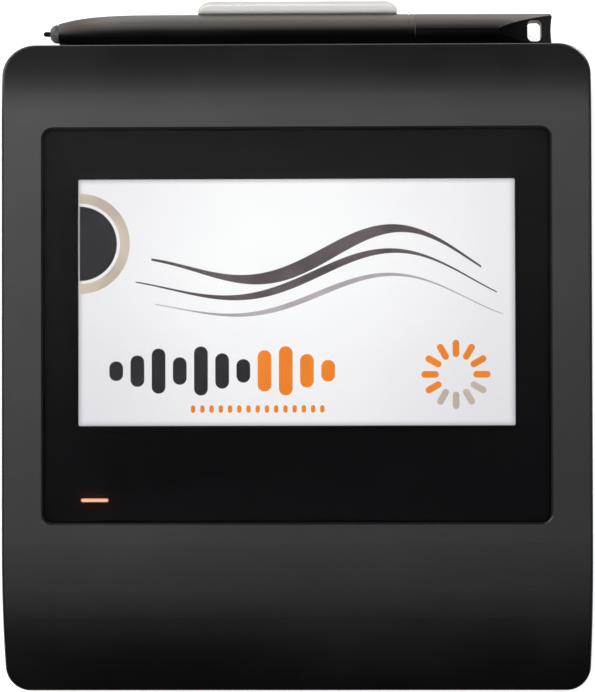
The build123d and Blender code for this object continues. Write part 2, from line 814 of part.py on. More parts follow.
with BuildPart() as board_chips:
    with BuildSketch(Plane.XY.offset(board_top)):
        with Locations((board_x, board_middle)):
            RectangleRounded(processor_size, processor_size, chip_rounding)
    extrude(amount=processor_height)
    with BuildSketch(Plane.XY.offset(board_top)):
        with Locations((board_x + 2 * processor_size, board_middle)):
            RectangleRounded(memory_width, memory_depth, chip_rounding)
        with Locations((board_x - 2 * processor_size, board_middle)):
            RectangleRounded(power_chip_size, power_chip_size, chip_rounding)
        with Locations((board_x, board_middle - processor_size)):
            RectangleRounded(clock_width, clock_depth, chip_rounding)
    extrude(amount=chip_height)
    with BuildSketch(Plane.XY.offset(board_top)):
        with Locations((board_x - 2 * processor_size, board_middle - processor_size)):
            RectangleRounded(coil_size, coil_size, chip_rounding)
    extrude(amount=coil_height)
    with BuildSketch(Plane.XY.offset(board_top)):
        with Locations((board_x + processor_size, board_rear - processor_size)):
            with GridLocations(3 * capacitor_radius, 0, 3, 1):
                Circle(capacitor_radius)
    extrude(amount=capacitor_height)
board_chips.part.label = "board_chips"

# Connectors along the board's front edge, one for each lead
with BuildPart() as board_connectors:
    with BuildSketch(Plane.XY.offset(board_top)):
        for x, width in (
            (lcd_flex_x, lcd_flex_width),
            (sensor_flex_x, sensor_flex_width),
            (led_flex_x, led_flex_width),
        ):
            with Locations((x, connector_front)):
                Rectangle(width + connector_margin, connector_depth, align=(Align.CENTER, Align.MIN))
    extrude(amount=connector_height)
board_connectors.part.label = "board_connectors"

# Cable inlet: a rounded metal mouth with a tongue in it
with BuildPart() as usb_socket:
    with BuildSketch(Plane.XZ.offset(-usb_front)):
        with Locations((usb_x, board_top + usb_height / 2)):
            RectangleRounded(usb_width, usb_height, usb_corner_radius)
    extrude(amount=usb_depth)
    with BuildSketch(Plane.XZ.offset(-usb_front)):
        with Locations((usb_x, board_top + usb_height / 2)):
            RectangleRounded(
                usb_width - 2 * usb_shell_wall,
                usb_height - 2 * usb_shell_wall,
                usb_corner_radius - usb_shell_wall,
            )
    extrude(amount=usb_mouth_depth, mode=Mode.SUBTRACT)
    with BuildSketch(Plane.XZ.offset(usb_mouth_depth - usb_front)):
        with Locations((usb_x, board_top + usb_height / 2)):
            Rectangle(usb_tongue_width, usb_tongue_thickness)
    extrude(amount=-usb_tongue_length)
usb_socket.part.label = "usb_socket"

# Steel plate behind the lock slot
with BuildPart() as lock_plate:
    with BuildSketch(Plane.YZ.offset(side_x - housing_wall)):
        with Locations((lock_y, lock_height)):
            Rectangle(lock_plate_length, lock_plate_height)
            SlotOverall(lock_slot_length, lock_slot_width, mode=Mode.SUBTRACT)
        with Locations(*[(y, lock_height) for y in lock_screw_places]):
            Circle(small_screw_radius + hole_gap, mode=Mode.SUBTRACT)
    extrude(amount=-lock_plate_thickness)
lock_plate.part.label = "lock_plate"

# Ballast
with BuildPart() as ballast_plate:
    with BuildSketch(Plane.XY.offset(seam_height)):
        with Locations((0, ballast_y)):
            Rectangle(ballast_width, ballast_depth)
        with Locations(*ballast_screw_spots):
            Circle(ballast_stud_radius + hole_gap, mode=Mode.SUBTRACT)
    extrude(amount=ballast_thickness)
ballast_plate.part.label = "ballast_plate"

# Screws
housing_screw = cross_screw(
    housing_head_radius, housing_head_height, housing_screw_radius, housing_screw_length
)
carrier_screw = cross_screw(small_head_radius, small_head_height, small_screw_radius, carrier_screw_length)
board_screw = cross_screw(small_head_radius, small_head_height, small_screw_radius, board_screw_length)
ballast_screw = cross_screw(ballast_head_radius, small_head_height, small_screw_radius, ballast_screw_length)
holder_screw = cross_screw(small_head_radius, small_head_height, small_screw_radius, holder_screw_length)
lock_screw = cross_screw(small_head_radius, small_head_height, small_screw_radius, lock_screw_length)
led_screw = cross_screw(tiny_head_radius, tiny_head_height, tiny_screw_radius, led_screw_length)

with BuildPart() as housing_screws:
    with Locations(*[Location((x, y, counterbore_top), (180, 0, 0)) for x, y in housing_screw_spots]):
        add(housing_screw)
housing_screws.part.label = "housing_screws"

with BuildPart() as carrier_screws:
    with Locations(*[under_face(x, up, carrier_bottom) for x, up in carrier_screw_spots]):
        add(carrier_screw)
carrier_screws.part.label = "carrier_screws"

with BuildPart() as board_screws:
    with Locations(*[(x, y, board_top) for x, y in board_screw_spots]):
        add(board_screw)
board_screws.part.label = "board_screws"

with BuildPart() as ballast_screws:
    with Locations(*[(x, y, seam_height + ballast_thickness) for x, y in ballast_screw_spots]):
        add(ballast_screw)
ballast_screws.part.label = "ballast_screws"

with BuildPart() as holder_screws:
    with Locations(*[(x, y, tongue_top) for x, y in holder_screw_spots]):
        add(holder_screw)
holder_screws.part.label = "holder_screws"

with BuildPart() as lock_screws:
    lock_plate_x = side_x - housing_wall - lock_plate_thickness
    with Locations(*[Location((lock_plate_x, y, lock_height), (0, -90, 0)) for y in lock_screw_places]):
        add(lock_screw)
lock_screws.part.label = "lock_screws"

with BuildPart() as led_screws:
    with Locations(*[under_face(x, up, led_board_bottom) for x, up in led_screw_spots]):
        add(led_screw)
led_screws.part.label = "led_screws"

# Pen holder: a tongue in the rear wall, a tray under the pen and a lip that leans out behind it
with BuildPart() as pen_holder:
    with BuildSketch(Plane.YZ):
        with BuildLine():
            tray = CenterArc((pen_y, pen_height), holder_mid_radius, -90, 90)
            bend_centre = (pen_y + holder_mid_radius + lip_bend_radius, pen_height)
            bend = CenterArc(bend_centre, lip_bend_radius, 180, -lip_turn)
            Line((rear_y - tongue_reach, pen_height - holder_mid_radius), tray @ 0)
            PolarLine(bend @ 1, lip_length, 90 - lip_turn)
        trace(line_width=holder_thickness)
    extrude(amount=holder_width / 2, both=True)
    lip_direction = Axis((0, pen_y, pen_height), (0, sin(lean), cos(lean)))
    lip_end = pen_holder.faces().sort_by(lip_direction)[-1]
    fillet(lip_end.edges().filter_by(Axis.X, reverse=True), lip_corner_radius)
    fillet(pen_holder.faces().sort_by(lip_direction)[-1].edges().filter_by(Axis.X), lip_edge_radius)
    with BuildSketch(Plane.XY.offset(tongue_bottom)):
        with Locations(*holder_screw_spots):
            Circle(small_screw_radius + hole_gap)
    extrude(amount=holder_thickness, mode=Mode.SUBTRACT)
pen_holder.part.label = "pen_holder"

# Pen
pen_plane = Plane(origin=(-pen_length / 2, pen_y, pen_height), x_dir=(1, 0, 0), z_dir=(0, -1, 0))
pen_axis = Axis(pen_plane.origin, (1, 0, 0))
cap_plane = Plane(origin=pen_plane.origin, x_dir=(1, 0, 0), z_dir=(0, -cos(tilt), -sin(tilt)))
barrel_start = collar_start + collar_length
grip_swell = pen_radius - barrel_start_radius
grip_points = [
    (barrel_start + share * grip_length, pen_radius - grip_swell * (1 - share) ** grip_power)
    for share in grip_shares
]
nib_end = cell_place - nib_travel - nib_stop_gap

with BuildPart() as pen_nib:
    with BuildSketch(pen_plane):
        with BuildLine():
            point = CenterArc((nib_radius, 0), nib_radius, 90, 90)
            Polyline(point @ 0, (nib_end, nib_radius), (nib_end, 0), point @ 1)
        make_face()
    revolve(axis=pen_axis)
pen_nib.part.label = "pen_nib"

with BuildPart() as pen_tip_collar:
    collar_bore = nib_radius + nib_gap
    collar_plug_radius = front_bore_radius - collar_plug_gap
    collar_plug_end = barrel_start + collar_plug_length
    with BuildSketch(pen_plane):
        with BuildLine():
            round_end = (collar_start + collar_length * collar_round_share, collar_radius)
            RadiusArc((collar_start, collar_front_radius), round_end, collar_round_radius)
            Polyline(
                round_end,
                (barrel_start, collar_radius),
                (barrel_start, collar_plug_radius),
                (collar_plug_end, collar_plug_radius),
                (collar_plug_end, collar_bore),
                (collar_start, collar_bore),
                (collar_start, collar_front_radius),
            )
        make_face()
    revolve(axis=pen_axis)
pen_tip_collar.part.label = "pen_tip_collar"

with BuildPart() as pen_barrel:
    bore_start = barrel_start + front_bore_length
    with BuildSketch(pen_plane):
        with BuildLine():
            skin = Spline(*grip_points)
            Polyline(
                skin @ 1,
                (seam_place - seam_chamfer, seam_radius),
                (seam_place, seam_radius - seam_chamfer),
                (seam_place, bore_radius),
                (bore_start, bore_radius),
                (bore_start, front_bore_radius),
                (barrel_start, front_bore_radius),
                skin @ 0,
            )
        make_face()
        with Locations((seam_place - groove_setback, seam_radius)):
            Rectangle(groove_width, 2 * groove_depth, mode=Mode.SUBTRACT)
    revolve(axis=pen_axis)
pen_barrel.part.label = "pen_barrel"

# End cap: two long flats leave a web, which has an eyelet through it
with BuildPart() as pen_end_cap:
    plug_radius = bore_radius - cap_plug_gap
    with BuildSketch(pen_plane):
        Polygon(
            (seam_place - cap_plug_length, 0),
            (seam_place - cap_plug_length, plug_radius),
            (seam_place, plug_radius),
            (seam_place, seam_radius - seam_chamfer),
            (seam_place + seam_chamfer, seam_radius),
            (pen_length - cap_end_round, cap_end_radius),
            (pen_length, cap_end_radius - cap_end_round),
            (pen_length, 0),
            align=None,
        )
    revolve(axis=pen_axis)
    for side in (1, -1):
        with BuildSketch(cap_plane):
            with BuildLine():
                flat_start = (pen_length - scoop_length, side * pen_radius)
                flat_end = (pen_length, side * web_half_thickness)
                flat_middle = (pen_length - scoop_middle, side * scoop_middle_height)
                ThreePointArc(flat_start, flat_middle, flat_end)
                Polyline(
                    flat_end,
                    (pen_length + overrun, side * web_half_thickness),
                    (pen_length + overrun, side * (pen_radius + overrun)),
                    (pen_length - scoop_length, side * (pen_radius + overrun)),
                    flat_start,
                )
            make_face()
        extrude(amount=pen_radius + overrun, both=True, mode=Mode.SUBTRACT)
    web_normal = (0, -sin(tilt), cos(tilt))
    with BuildSketch(Plane(origin=pen_plane.origin, x_dir=(1, 0, 0), z_dir=web_normal)):
        with Locations((eyelet_place, 0)):
            RectangleRounded(eyelet_length, eyelet_width, eyelet_corner_radius)
        with Locations((pen_length + end_dish_radius - end_dish_depth, 0)):
            Circle(end_dish_radius)
    extrude(amount=pen_radius + overrun, both=True, mode=Mode.SUBTRACT)
pen_end_cap.part.label = "pen_end_cap"

# Inside the pen
with BuildPart() as pen_ferrite_core:
    with BuildSketch(Plane.YZ.offset(ferrite_place - pen_length / 2)):
        with Locations((pen_y, pen_height)):
            Circle(ferrite_radius)
            Circle(nib_radius + nib_gap, mode=Mode.SUBTRACT)
    extrude(amount=ferrite_length)
pen_ferrite_core.part.label = "pen_ferrite_core"

with BuildPart() as pen_coil:
    with BuildSketch(Plane.YZ.offset(coil_place - pen_length / 2)):
        with Locations((pen_y, pen_height)):
            Circle(ferrite_radius + coil_gap + coil_wall)
            Circle(ferrite_radius + coil_gap, mode=Mode.SUBTRACT)
    extrude(amount=coil_length)
pen_coil.part.label = "pen_coil"

with BuildPart() as pen_pressure_cell:
    with BuildSketch(Plane.YZ.offset(cell_place - pen_length / 2)):
        with Locations((pen_y, pen_height)):
            Circle(bore_radius - cell_gap)
    extrude(amount=cell_length)
    with BuildSketch(Plane.YZ.offset(cell_place - pen_length / 2)):
        with Locations((pen_y, pen_height)):
            Circle(bore_radius - cell_gap)
            Circle(ferrite_radius + coil_gap, mode=Mode.SUBTRACT)
    extrude(amount=-cell_sleeve_length)
pen_pressure_cell.part.label = "pen_pressure_cell"

with BuildPart() as pen_circuit_board:
    with BuildSketch(Plane.YZ.offset(pen_board_place - pen_length / 2)):
        with Locations((pen_y, pen_height)):
            Rectangle(pen_board_width, pen_board_thickness)
    extrude(amount=pen_board_length)
pen_circuit_board.part.label = "pen_circuit_board"

pieces = [
    top_housing, base_shell, rubber_feet, rating_plate, cover_glass, glass_border_film, lcd_gasket, lcd_panel,
    light_guide, backlight_tray, sensor_board, sensor_shield, carrier_frame, led_light_pipe, status_led,
    led_board, lcd_flex, sensor_flex, led_flex, main_board, board_chips, board_connectors, usb_socket,
    lock_plate, ballast_plate, housing_screws, carrier_screws, board_screws, ballast_screws, holder_screws,
    lock_screws, led_screws, pen_holder, pen_nib, pen_tip_collar, pen_barrel, pen_end_cap, pen_ferrite_core,
    pen_coil, pen_pressure_cell, pen_circuit_board,
]
os.makedirs("parts", exist_ok=True)
for piece in pieces:
    export_step(piece.part, f"parts/{piece.part.label}.step")
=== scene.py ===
import logging
import math
from collections.abc import Callable, Iterable, Sequence
from dataclasses import dataclass, field
from enum import Enum

import bmesh
import bpy
from mathutils import Euler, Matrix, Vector


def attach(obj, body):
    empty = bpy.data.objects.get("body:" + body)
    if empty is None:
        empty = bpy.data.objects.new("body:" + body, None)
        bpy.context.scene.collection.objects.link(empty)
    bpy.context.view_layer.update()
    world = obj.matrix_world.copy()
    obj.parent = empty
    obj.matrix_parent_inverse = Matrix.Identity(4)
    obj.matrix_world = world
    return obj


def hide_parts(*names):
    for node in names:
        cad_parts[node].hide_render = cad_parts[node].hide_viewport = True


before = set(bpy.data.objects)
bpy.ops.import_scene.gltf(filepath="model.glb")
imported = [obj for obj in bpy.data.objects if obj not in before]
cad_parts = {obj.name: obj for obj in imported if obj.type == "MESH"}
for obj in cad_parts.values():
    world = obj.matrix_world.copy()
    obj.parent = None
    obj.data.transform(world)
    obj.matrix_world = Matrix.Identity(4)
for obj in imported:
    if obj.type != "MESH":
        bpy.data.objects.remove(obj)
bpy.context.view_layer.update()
LOG = logging.getLogger("signature_pad")
MM = 0.001

Colour = tuple[float, float, float]
Point2 = tuple[float, float]
Band = tuple[list[Point2], list[Point2]]


def tone(red: float, green: float, blue: float) -> Colour:
    """Turns a display colour into the linear colour that a shader takes.

    Args:
        red: Red on the scale 0 to 255.
        green: Green on the scale 0 to 255.
        blue: Blue on the scale 0 to 255.

    Returns:
        The linear colour.
    """
    def linear(value: float) -> float:
        """Undoes the display curve for one channel."""
        share = value / 255
        return share / 12.92 if share <= 0.04045 else ((share + 0.055) / 1.055) ** 2.4

    return linear(red), linear(green), linear(blue)


# Node helpers


class NodeBench:
    """Adds nodes to one node tree and joins them."""

    def __init__(self, tree: bpy.types.NodeTree) -> None:
        """Takes the tree to work on.

        Args:
            tree: The tree of a material, a world or a node group.
        """
        self.tree = tree
        self.step = 0

    def add(self, kind: str, **values: object) -> bpy.types.Node:
        """Adds a node and sets its properties and its sockets.

        Args:
            kind: The node's type without its ShaderNode prefix.
            **values: Properties by name, or sockets by label with _ for a space.

        Returns:
            The new node.
        """
        node = self.tree.nodes.new("ShaderNode" + kind)
        node.location = (220 * (self.step % 8), -260 * (self.step // 8))
        self.step += 1
        for name, value in values.items():
            if hasattr(node, name):
                setattr(node, name, value)
            else:
                self.feed(node.inputs[name.replace("_", " ")], value)
        return node

    def feed(self, socket: bpy.types.NodeSocket, value: object) -> None:
        """Links an output to a socket, or sets the socket's own value.

        Args:
            socket: The input socket.
            value: An output socket, a number, a colour or a vector.
        """
        if isinstance(value, bpy.types.NodeSocket):
            self.tree.links.new(value, socket)
        elif socket.type == "RGBA":
            socket.default_value = (*value[:3], 1.0)
        else:
            socket.default_value = value

    def math(self, operation: str, *values: object, clamp: bool = False) -> bpy.types.NodeSocket:
        """Adds a Math node.

        Args:
            operation: The node's operation, such as MULTIPLY.
            *values: Its inputs, outputs of other nodes or numbers.
            clamp: Whether its result is held between 0 and 1.

        Returns:
            The node's output.
        """
        node = self.add("Math", operation=operation, use_clamp=clamp)
        for socket, value in zip(node.inputs, values):
            self.feed(socket, value)
        return node.outputs[0]

    def ramp(self, value: object, low: float, high: float, bottom: float = 0.0, top: float = 1.0) -> bpy.types.NodeSocket:
        """Maps a value smoothly from one range to another.

        Args:
            value: The value that is mapped.
            low: Where the ramp starts.
            high: Where the ramp ends.
            bottom: The result at the start.
            top: The result at the end.

        Returns:
            The node's output.
        """
        node = self.add("MapRange", interpolation_type="SMOOTHSTEP", Value=value, From_Min=low, From_Max=high,
                        To_Min=bottom, To_Max=top)
        return node.outputs[0]

    def mix(self, share: object, first: object, second: object) -> bpy.types.NodeSocket:
        """Mixes two colours.

        Args:
            share: How much of the second colour shows.
            first: The first colour.
            second: The second colour.

        Returns:
            The mixed colour's output.
        """
        node = self.add("Mix", data_type="RGBA")
        self.feed(node.inputs[0], share)
        self.feed(node.inputs[6], first)
        self.feed(node.inputs[7], second)
        return node.outputs[2]

    def place(self) -> bpy.types.NodeSocket:
        """Returns the place in the frame, in metres, of the point that is shaded."""
        return self.add("TexCoord").outputs["Object"]

    def noise(self, place: object, size: float, detail: float = 2.0, rough: float = 0.5) -> bpy.types.NodeSocket:
        """Adds a noise whose blotches are about one size across.

        Args:
            place: The point's place.
            size: The blotches' size, in millimetres.
            detail: How many finer layers are added.
            rough: How strong the finer layers are.

        Returns:
            The noise's value.
        """
        node = self.add("TexNoise", Vector=place, Scale=1 / (size * MM), Detail=detail, Roughness=rough)
        return node.outputs["Fac"]


# Effects that several materials share


class Effect(Enum):
    """The shader node groups that the materials share."""

    GRAIN = "moulded_grain"
    WEAR = "edge_wear"
    DUST = "settled_dust"
    BRUSHING = "brushed_lines"


def open_group(effect: Effect, inputs: dict[str, float | None], outputs: Sequence[str]) -> tuple[NodeBench, dict, dict]:
    """Starts a shader node group with named sockets.

    Args:
        effect: The effect that the group makes.
        inputs: Each input's name with its value, or None for a place.
        outputs: The names of the values that the group puts out.

    Returns:
        The bench to work on, the group's inputs by name and the sockets that end it by name.
    """
    group = bpy.data.node_groups.new(effect.value, "ShaderNodeTree")
    for name, value in inputs.items():
        kind = "NodeSocketVector" if value is None else "NodeSocketFloat"
        socket = group.interface.new_socket(name=name, in_out="INPUT", socket_type=kind)
        if value is not None:
            socket.default_value = value
    for name in outputs:
        group.interface.new_socket(name=name, in_out="OUTPUT", socket_type="NodeSocketFloat")
    start, end = group.nodes.new("NodeGroupInput"), group.nodes.new("NodeGroupOutput")
    return NodeBench(group), dict(start.outputs.items()), dict(end.inputs.items())


def build_grain() -> bpy.types.NodeTree:
    """Builds the pebbled skin of a moulded surface, with slow changes of tone."""
    bench, given, made = open_group(Effect.GRAIN, {"Place": None, "Pitch": 0.4, "Drift": 25.0}, ["Height", "Tone"])
    scale = bench.math("DIVIDE", 1000.0, given["Pitch"])
    pebbles = bench.add("TexVoronoi", feature="SMOOTH_F1", Vector=given["Place"], Scale=scale, Smoothness=0.7)
    fine = bench.add("TexNoise", Vector=given["Place"], Scale=bench.math("MULTIPLY", scale, 0.7), Detail=3.0)
    bench.feed(made["Height"], bench.math("ADD", pebbles.outputs["Distance"], fine.outputs["Fac"]))
    slow = bench.add("TexNoise", Vector=given["Place"], Scale=bench.math("DIVIDE", 1000.0, given["Drift"]), Detail=3.0)
    mottled = bench.math("MULTIPLY_ADD", fine.outputs["Fac"], 0.3, bench.math("MULTIPLY", slow.outputs["Fac"], 0.7))
    bench.feed(made["Tone"], bench.ramp(mottled, 0.32, 0.68))
    return bench.tree


def build_wear() -> bpy.types.NodeTree:
    """Builds the mask of edges that hands and tables have polished."""
    bench, given, made = open_group(Effect.WEAR, {"Place": None, "Reach": 0.5, "Amount": 0.5}, ["Mask"])
    rounded = bench.add("Bevel", samples=4, Radius=bench.math("MULTIPLY", given["Reach"], MM))
    flat = bench.add("NewGeometry")
    dot = bench.add("VectorMath", operation="DOT_PRODUCT")
    bench.feed(dot.inputs[0], rounded.outputs[0])
    bench.feed(dot.inputs[1], flat.outputs["Normal"])
    edge = bench.ramp(bench.math("SUBTRACT", 1.0, dot.outputs["Value"]), 0.01, 0.16)
    patches = bench.ramp(bench.noise(given["Place"], 3.0, 4.0, 0.6), 0.38, 0.62, 0.25, 1.0)
    bench.feed(made["Mask"], bench.math("MULTIPLY", bench.math("MULTIPLY", edge, patches), given["Amount"], clamp=True))
    return bench.tree


def build_dust() -> bpy.types.NodeTree:
    """Builds the mask of the little dust that lies on what faces up."""
    bench, given, made = open_group(Effect.DUST, {"Place": None, "Amount": 0.2}, ["Mask"])
    up = bench.add("SeparateXYZ", Vector=bench.add("NewGeometry").outputs["Normal"]).outputs["Z"]
    specks = bench.ramp(bench.noise(given["Place"], 0.6, 2.0), 0.62, 0.72)
    haze = bench.ramp(bench.noise(given["Place"], 30.0, 3.0), 0.4, 0.75, 0.0, 0.5)
    lying = bench.math("MULTIPLY", bench.math("ADD", specks, haze), bench.ramp(up, 0.2, 0.9))
    bench.feed(made["Mask"], bench.math("MULTIPLY", lying, given["Amount"], clamp=True))
    return bench.tree


def build_brushing() -> bpy.types.NodeTree:
    """Builds the drawn-out lines of rolled or brushed metal."""
    bench, given, made = open_group(Effect.BRUSHING, {"Place": None, "Pitch": 0.15, "Stretch": 40.0}, ["Height", "Tone"])
    lie = bench.add("CombineXYZ", X=bench.math("DIVIDE", 1.0, given["Stretch"]), Y=1.0, Z=1.0)
    drawn = bench.add("VectorMath", operation="MULTIPLY")
    bench.feed(drawn.inputs[0], given["Place"])
    bench.feed(drawn.inputs[1], lie.outputs[0])
    scale = bench.math("DIVIDE", 1000.0, given["Pitch"])
    lines = bench.add("TexNoise", Vector=drawn.outputs[0], Scale=scale, Detail=2.0)
    broad = bench.add("TexNoise", Vector=drawn.outputs[0], Scale=bench.math("MULTIPLY", scale, 0.08), Detail=2.0)
    bench.feed(made["Height"], lines.outputs["Fac"])
    bench.feed(made["Tone"], bench.math("ADD", bench.math("MULTIPLY", lines.outputs["Fac"], 0.6),
                                        bench.math("MULTIPLY", broad.outputs["Fac"], 0.4)))
    return bench.tree


EFFECT_BUILDERS: dict[Effect, Callable[[], bpy.types.NodeTree]] = {
    Effect.GRAIN: build_grain,
    Effect.WEAR: build_wear,
    Effect.DUST: build_dust,
    Effect.BRUSHING: build_brushing,
}


def use_effect(bench: NodeBench, effect: Effect, **values: object) -> bpy.types.Node:
    """Places a shared node group in a material, and builds it the first time.

    Args:
        bench: The material's bench.
        effect: The effect that is wanted.
        **values: The group's inputs by name.

    Returns:
        The group's node.
    """
    group = bpy.data.node_groups.get(effect.value) or EFFECT_BUILDERS[effect]()
    return bench.add("Group", node_tree=group, **values)


# Finishes

MADE_MATERIALS: dict[str, bpy.types.Material] = {}


@dataclass(frozen=True)
class Finish:
    """What every finish has: its name and its plain colour."""

    name: str
    colour: Colour

    def material(self) -> bpy.types.Material:
        """Returns this finish's material, made the first time it is asked for."""
        made = MADE_MATERIALS.get(self.name)
        if made is None:
            made = MADE_MATERIALS[self.name] = bpy.data.materials.new(self.name)
            made.use_nodes = True
            made.node_tree.nodes.clear()
            bench = NodeBench(made.node_tree)
            shader = bench.add("BsdfPrincipled")
            self.dress(bench, shader)
            bench.feed(bench.add("OutputMaterial").inputs["Surface"], self.surface(bench, shader))
        return made

    def dress(self, bench: NodeBench, shader: bpy.types.Node) -> None:
        """Sets the shader's sockets. Each finish has its own way.

        Args:
            bench: The material's bench.
            shader: The material's Principled shader.
        """
        raise NotImplementedError

    def surface(self, bench: NodeBench, shader: bpy.types.Node) -> bpy.types.NodeSocket:
        """Returns the output that goes to the surface."""
        return shader.outputs[0]

    def shade(self, share: float) -> Colour:
        """Returns the plain colour made lighter, or darker under 1."""
        return tuple(min(1.0, channel * share) for channel in self.colour)

    def relief(self, bench: NodeBench, shader: bpy.types.Node, height: object, depth: float) -> None:
        """Gives the shader a bump.

        Args:
            bench: The material's bench.
            shader: The material's Principled shader.
            height: The relief, from 0 to 1.
            depth: The relief's depth, in millimetres.
        """
        bump = bench.add("Bump", Height=height, Strength=1.0, Distance=depth * MM)
        bench.feed(shader.inputs["Normal"], bump.outputs[0])


@dataclass(frozen=True)
class MouldedPlastic(Finish):
    """Moulded plastic with a fine grain, polished edges and a trace of dust."""

    roughness: float = 0.5
    gloss: float = 0.5
    pitch: float = 0.4
    depth: float = 0.004
    spread: float = 0.12
    wear: float = 0.3
    wear_reach: float = 0.35
    polish: float = 0.25
    dust: float = 0.1

    def dress(self, bench: NodeBench, shader: bpy.types.Node) -> None:
        """Mixes the grain, the worn edges and the dust into one skin."""
        place = bench.place()
        grain = use_effect(bench, Effect.GRAIN, Place=place, Pitch=self.pitch)
        worn = use_effect(bench, Effect.WEAR, Place=place, Reach=self.wear_reach,
                          Amount=self.wear).outputs["Mask"]
        dust = use_effect(bench, Effect.DUST, Place=place, Amount=self.dust).outputs["Mask"]
        skin = bench.mix(grain.outputs["Tone"], self.shade(1 - self.spread), self.shade(1 + self.spread))
        rubbed = bench.mix(worn, skin, self.shade(1.9))
        bench.feed(shader.inputs["Base Color"], bench.mix(dust, rubbed, tone(150, 147, 142)))
        rough = bench.math("MULTIPLY_ADD", grain.outputs["Tone"], 0.05, self.roughness - 0.025)
        rough = bench.math("MULTIPLY_ADD", worn, -self.polish, rough)
        bench.feed(shader.inputs["Roughness"], bench.math("MULTIPLY_ADD", dust, 0.4, rough, clamp=True))
        shader.inputs["Specular IOR Level"].default_value = self.gloss
        self.relief(bench, shader, grain.outputs["Height"], self.depth)


@dataclass(frozen=True)
class SoftRubber(MouldedPlastic):
    """Soft rubber or foam: dull, with open pores."""

    pores: float = 0.25

    def dress(self, bench: NodeBench, shader: bpy.types.Node) -> None:
        """Adds pores to the moulded skin."""
        super().dress(bench, shader)
        place = bench.place()
        cells = bench.add("TexVoronoi", Vector=place, Scale=1 / (self.pores * MM)).outputs["Distance"]
        self.relief(bench, shader, bench.ramp(cells, 0.1, 0.5), 0.05 * self.pores)


@dataclass(frozen=True)
class SatinCoat(MouldedPlastic):
    """Dark plastic with a warm satin gloss that shows at a slant. Painted shade takes the gloss mostly off the sides
    that face the pad and the back, and partly off the tip.
    """

    slant_start: float = 0.0
    slant_full: float = 0.15
    slant_colour: Colour = (0.137, 0.123, 0.115)
    # Painted shade towards the pen's tip: where it starts and ends along X, in metres, and how much gloss it leaves.
    painted_tip_shade_start: float = -0.060
    painted_tip_shade_full: float = -0.047
    painted_tip_shade_level: float = 0.4

    def dress(self, bench: NodeBench, shader: bpy.types.Node) -> None:
        """Lays the gloss over the moulded skin, with painted shade on its front and back sides and towards the tip."""
        super().dress(bench, shader)
        facing = bench.add("LayerWeight", Blend=0.5).outputs["Facing"]
        turned = bench.add("SeparateXYZ", Vector=bench.add("NewGeometry").outputs["Normal"]).outputs["Y"]
        # Painted shade: less gloss on sides that face the pad and on sides that face the back.
        painted_side_shade = bench.math("MULTIPLY", bench.ramp(turned, -0.4, -0.1, 0.15, 1.0),
                           bench.ramp(turned, 0.72, 0.98, 1.0, 0.25))
        # Painted shade: the gloss fades towards the pen's tip.
        along = bench.add("SeparateXYZ", Vector=bench.place()).outputs["X"]
        painted_tip_shade = bench.ramp(along, self.painted_tip_shade_start, self.painted_tip_shade_full, self.painted_tip_shade_level, 1.0)
        gloss_after_painted_shade = bench.math("MULTIPLY", painted_side_shade, painted_tip_shade)
        slant = bench.math("MULTIPLY", bench.ramp(facing, self.slant_start, self.slant_full), gloss_after_painted_shade)
        skin = shader.inputs["Base Color"].links[0].from_socket
        bench.feed(shader.inputs["Base Color"], bench.mix(slant, skin, self.slant_colour))
        shader.inputs["Metallic"].default_value = 1.0


@dataclass(frozen=True)
class ClearGlass(Finish):
    """The pane: clear, with a black line printed along its edge and the faint greasy marks of hands in its gloss."""

    roughness: float = 0.01
    middle: Point2 = (0.0, 0.0)
    half_size: Point2 = (64.4, 49.63)
    corner: float = 2.4
    line: float = 0.45

    def dress(self, bench: NodeBench, shader: bpy.types.Node) -> None:
        """Keeps the glass plain inside the line, with a slow change of gloss."""
        place = bench.place()
        marks = bench.ramp(bench.noise(place, 14.0, 5.0, 0.6), 0.45, 0.7)
        bench.feed(shader.inputs["Roughness"], bench.math("MULTIPLY_ADD", marks, 0.02, self.roughness))
        split = bench.add("SeparateXYZ", Vector=place)
        squares = []
        for axis, middle, half in zip("XY", self.middle, self.half_size):
            off = bench.math("ABSOLUTE", bench.math("SUBTRACT", split.outputs[axis], middle * MM))
            over = bench.math("MAXIMUM", bench.math("SUBTRACT", off, (half - self.corner) * MM), 0.0)
            squares.append(bench.math("MULTIPLY", over, over))
        reach = bench.math("SQRT", bench.math("ADD", *squares))
        inner = (self.corner - self.line) * MM
        clear = bench.mix(marks, self.colour, self.shade(0.995))
        printed = bench.mix(bench.ramp(reach, inner, inner + 0.1 * MM), clear, (0.001, 0.001, 0.001))
        bench.feed(shader.inputs["Base Color"], printed)
        shader.inputs["Transmission Weight"].default_value = 1.0
        shader.inputs["IOR"].default_value = 1.09


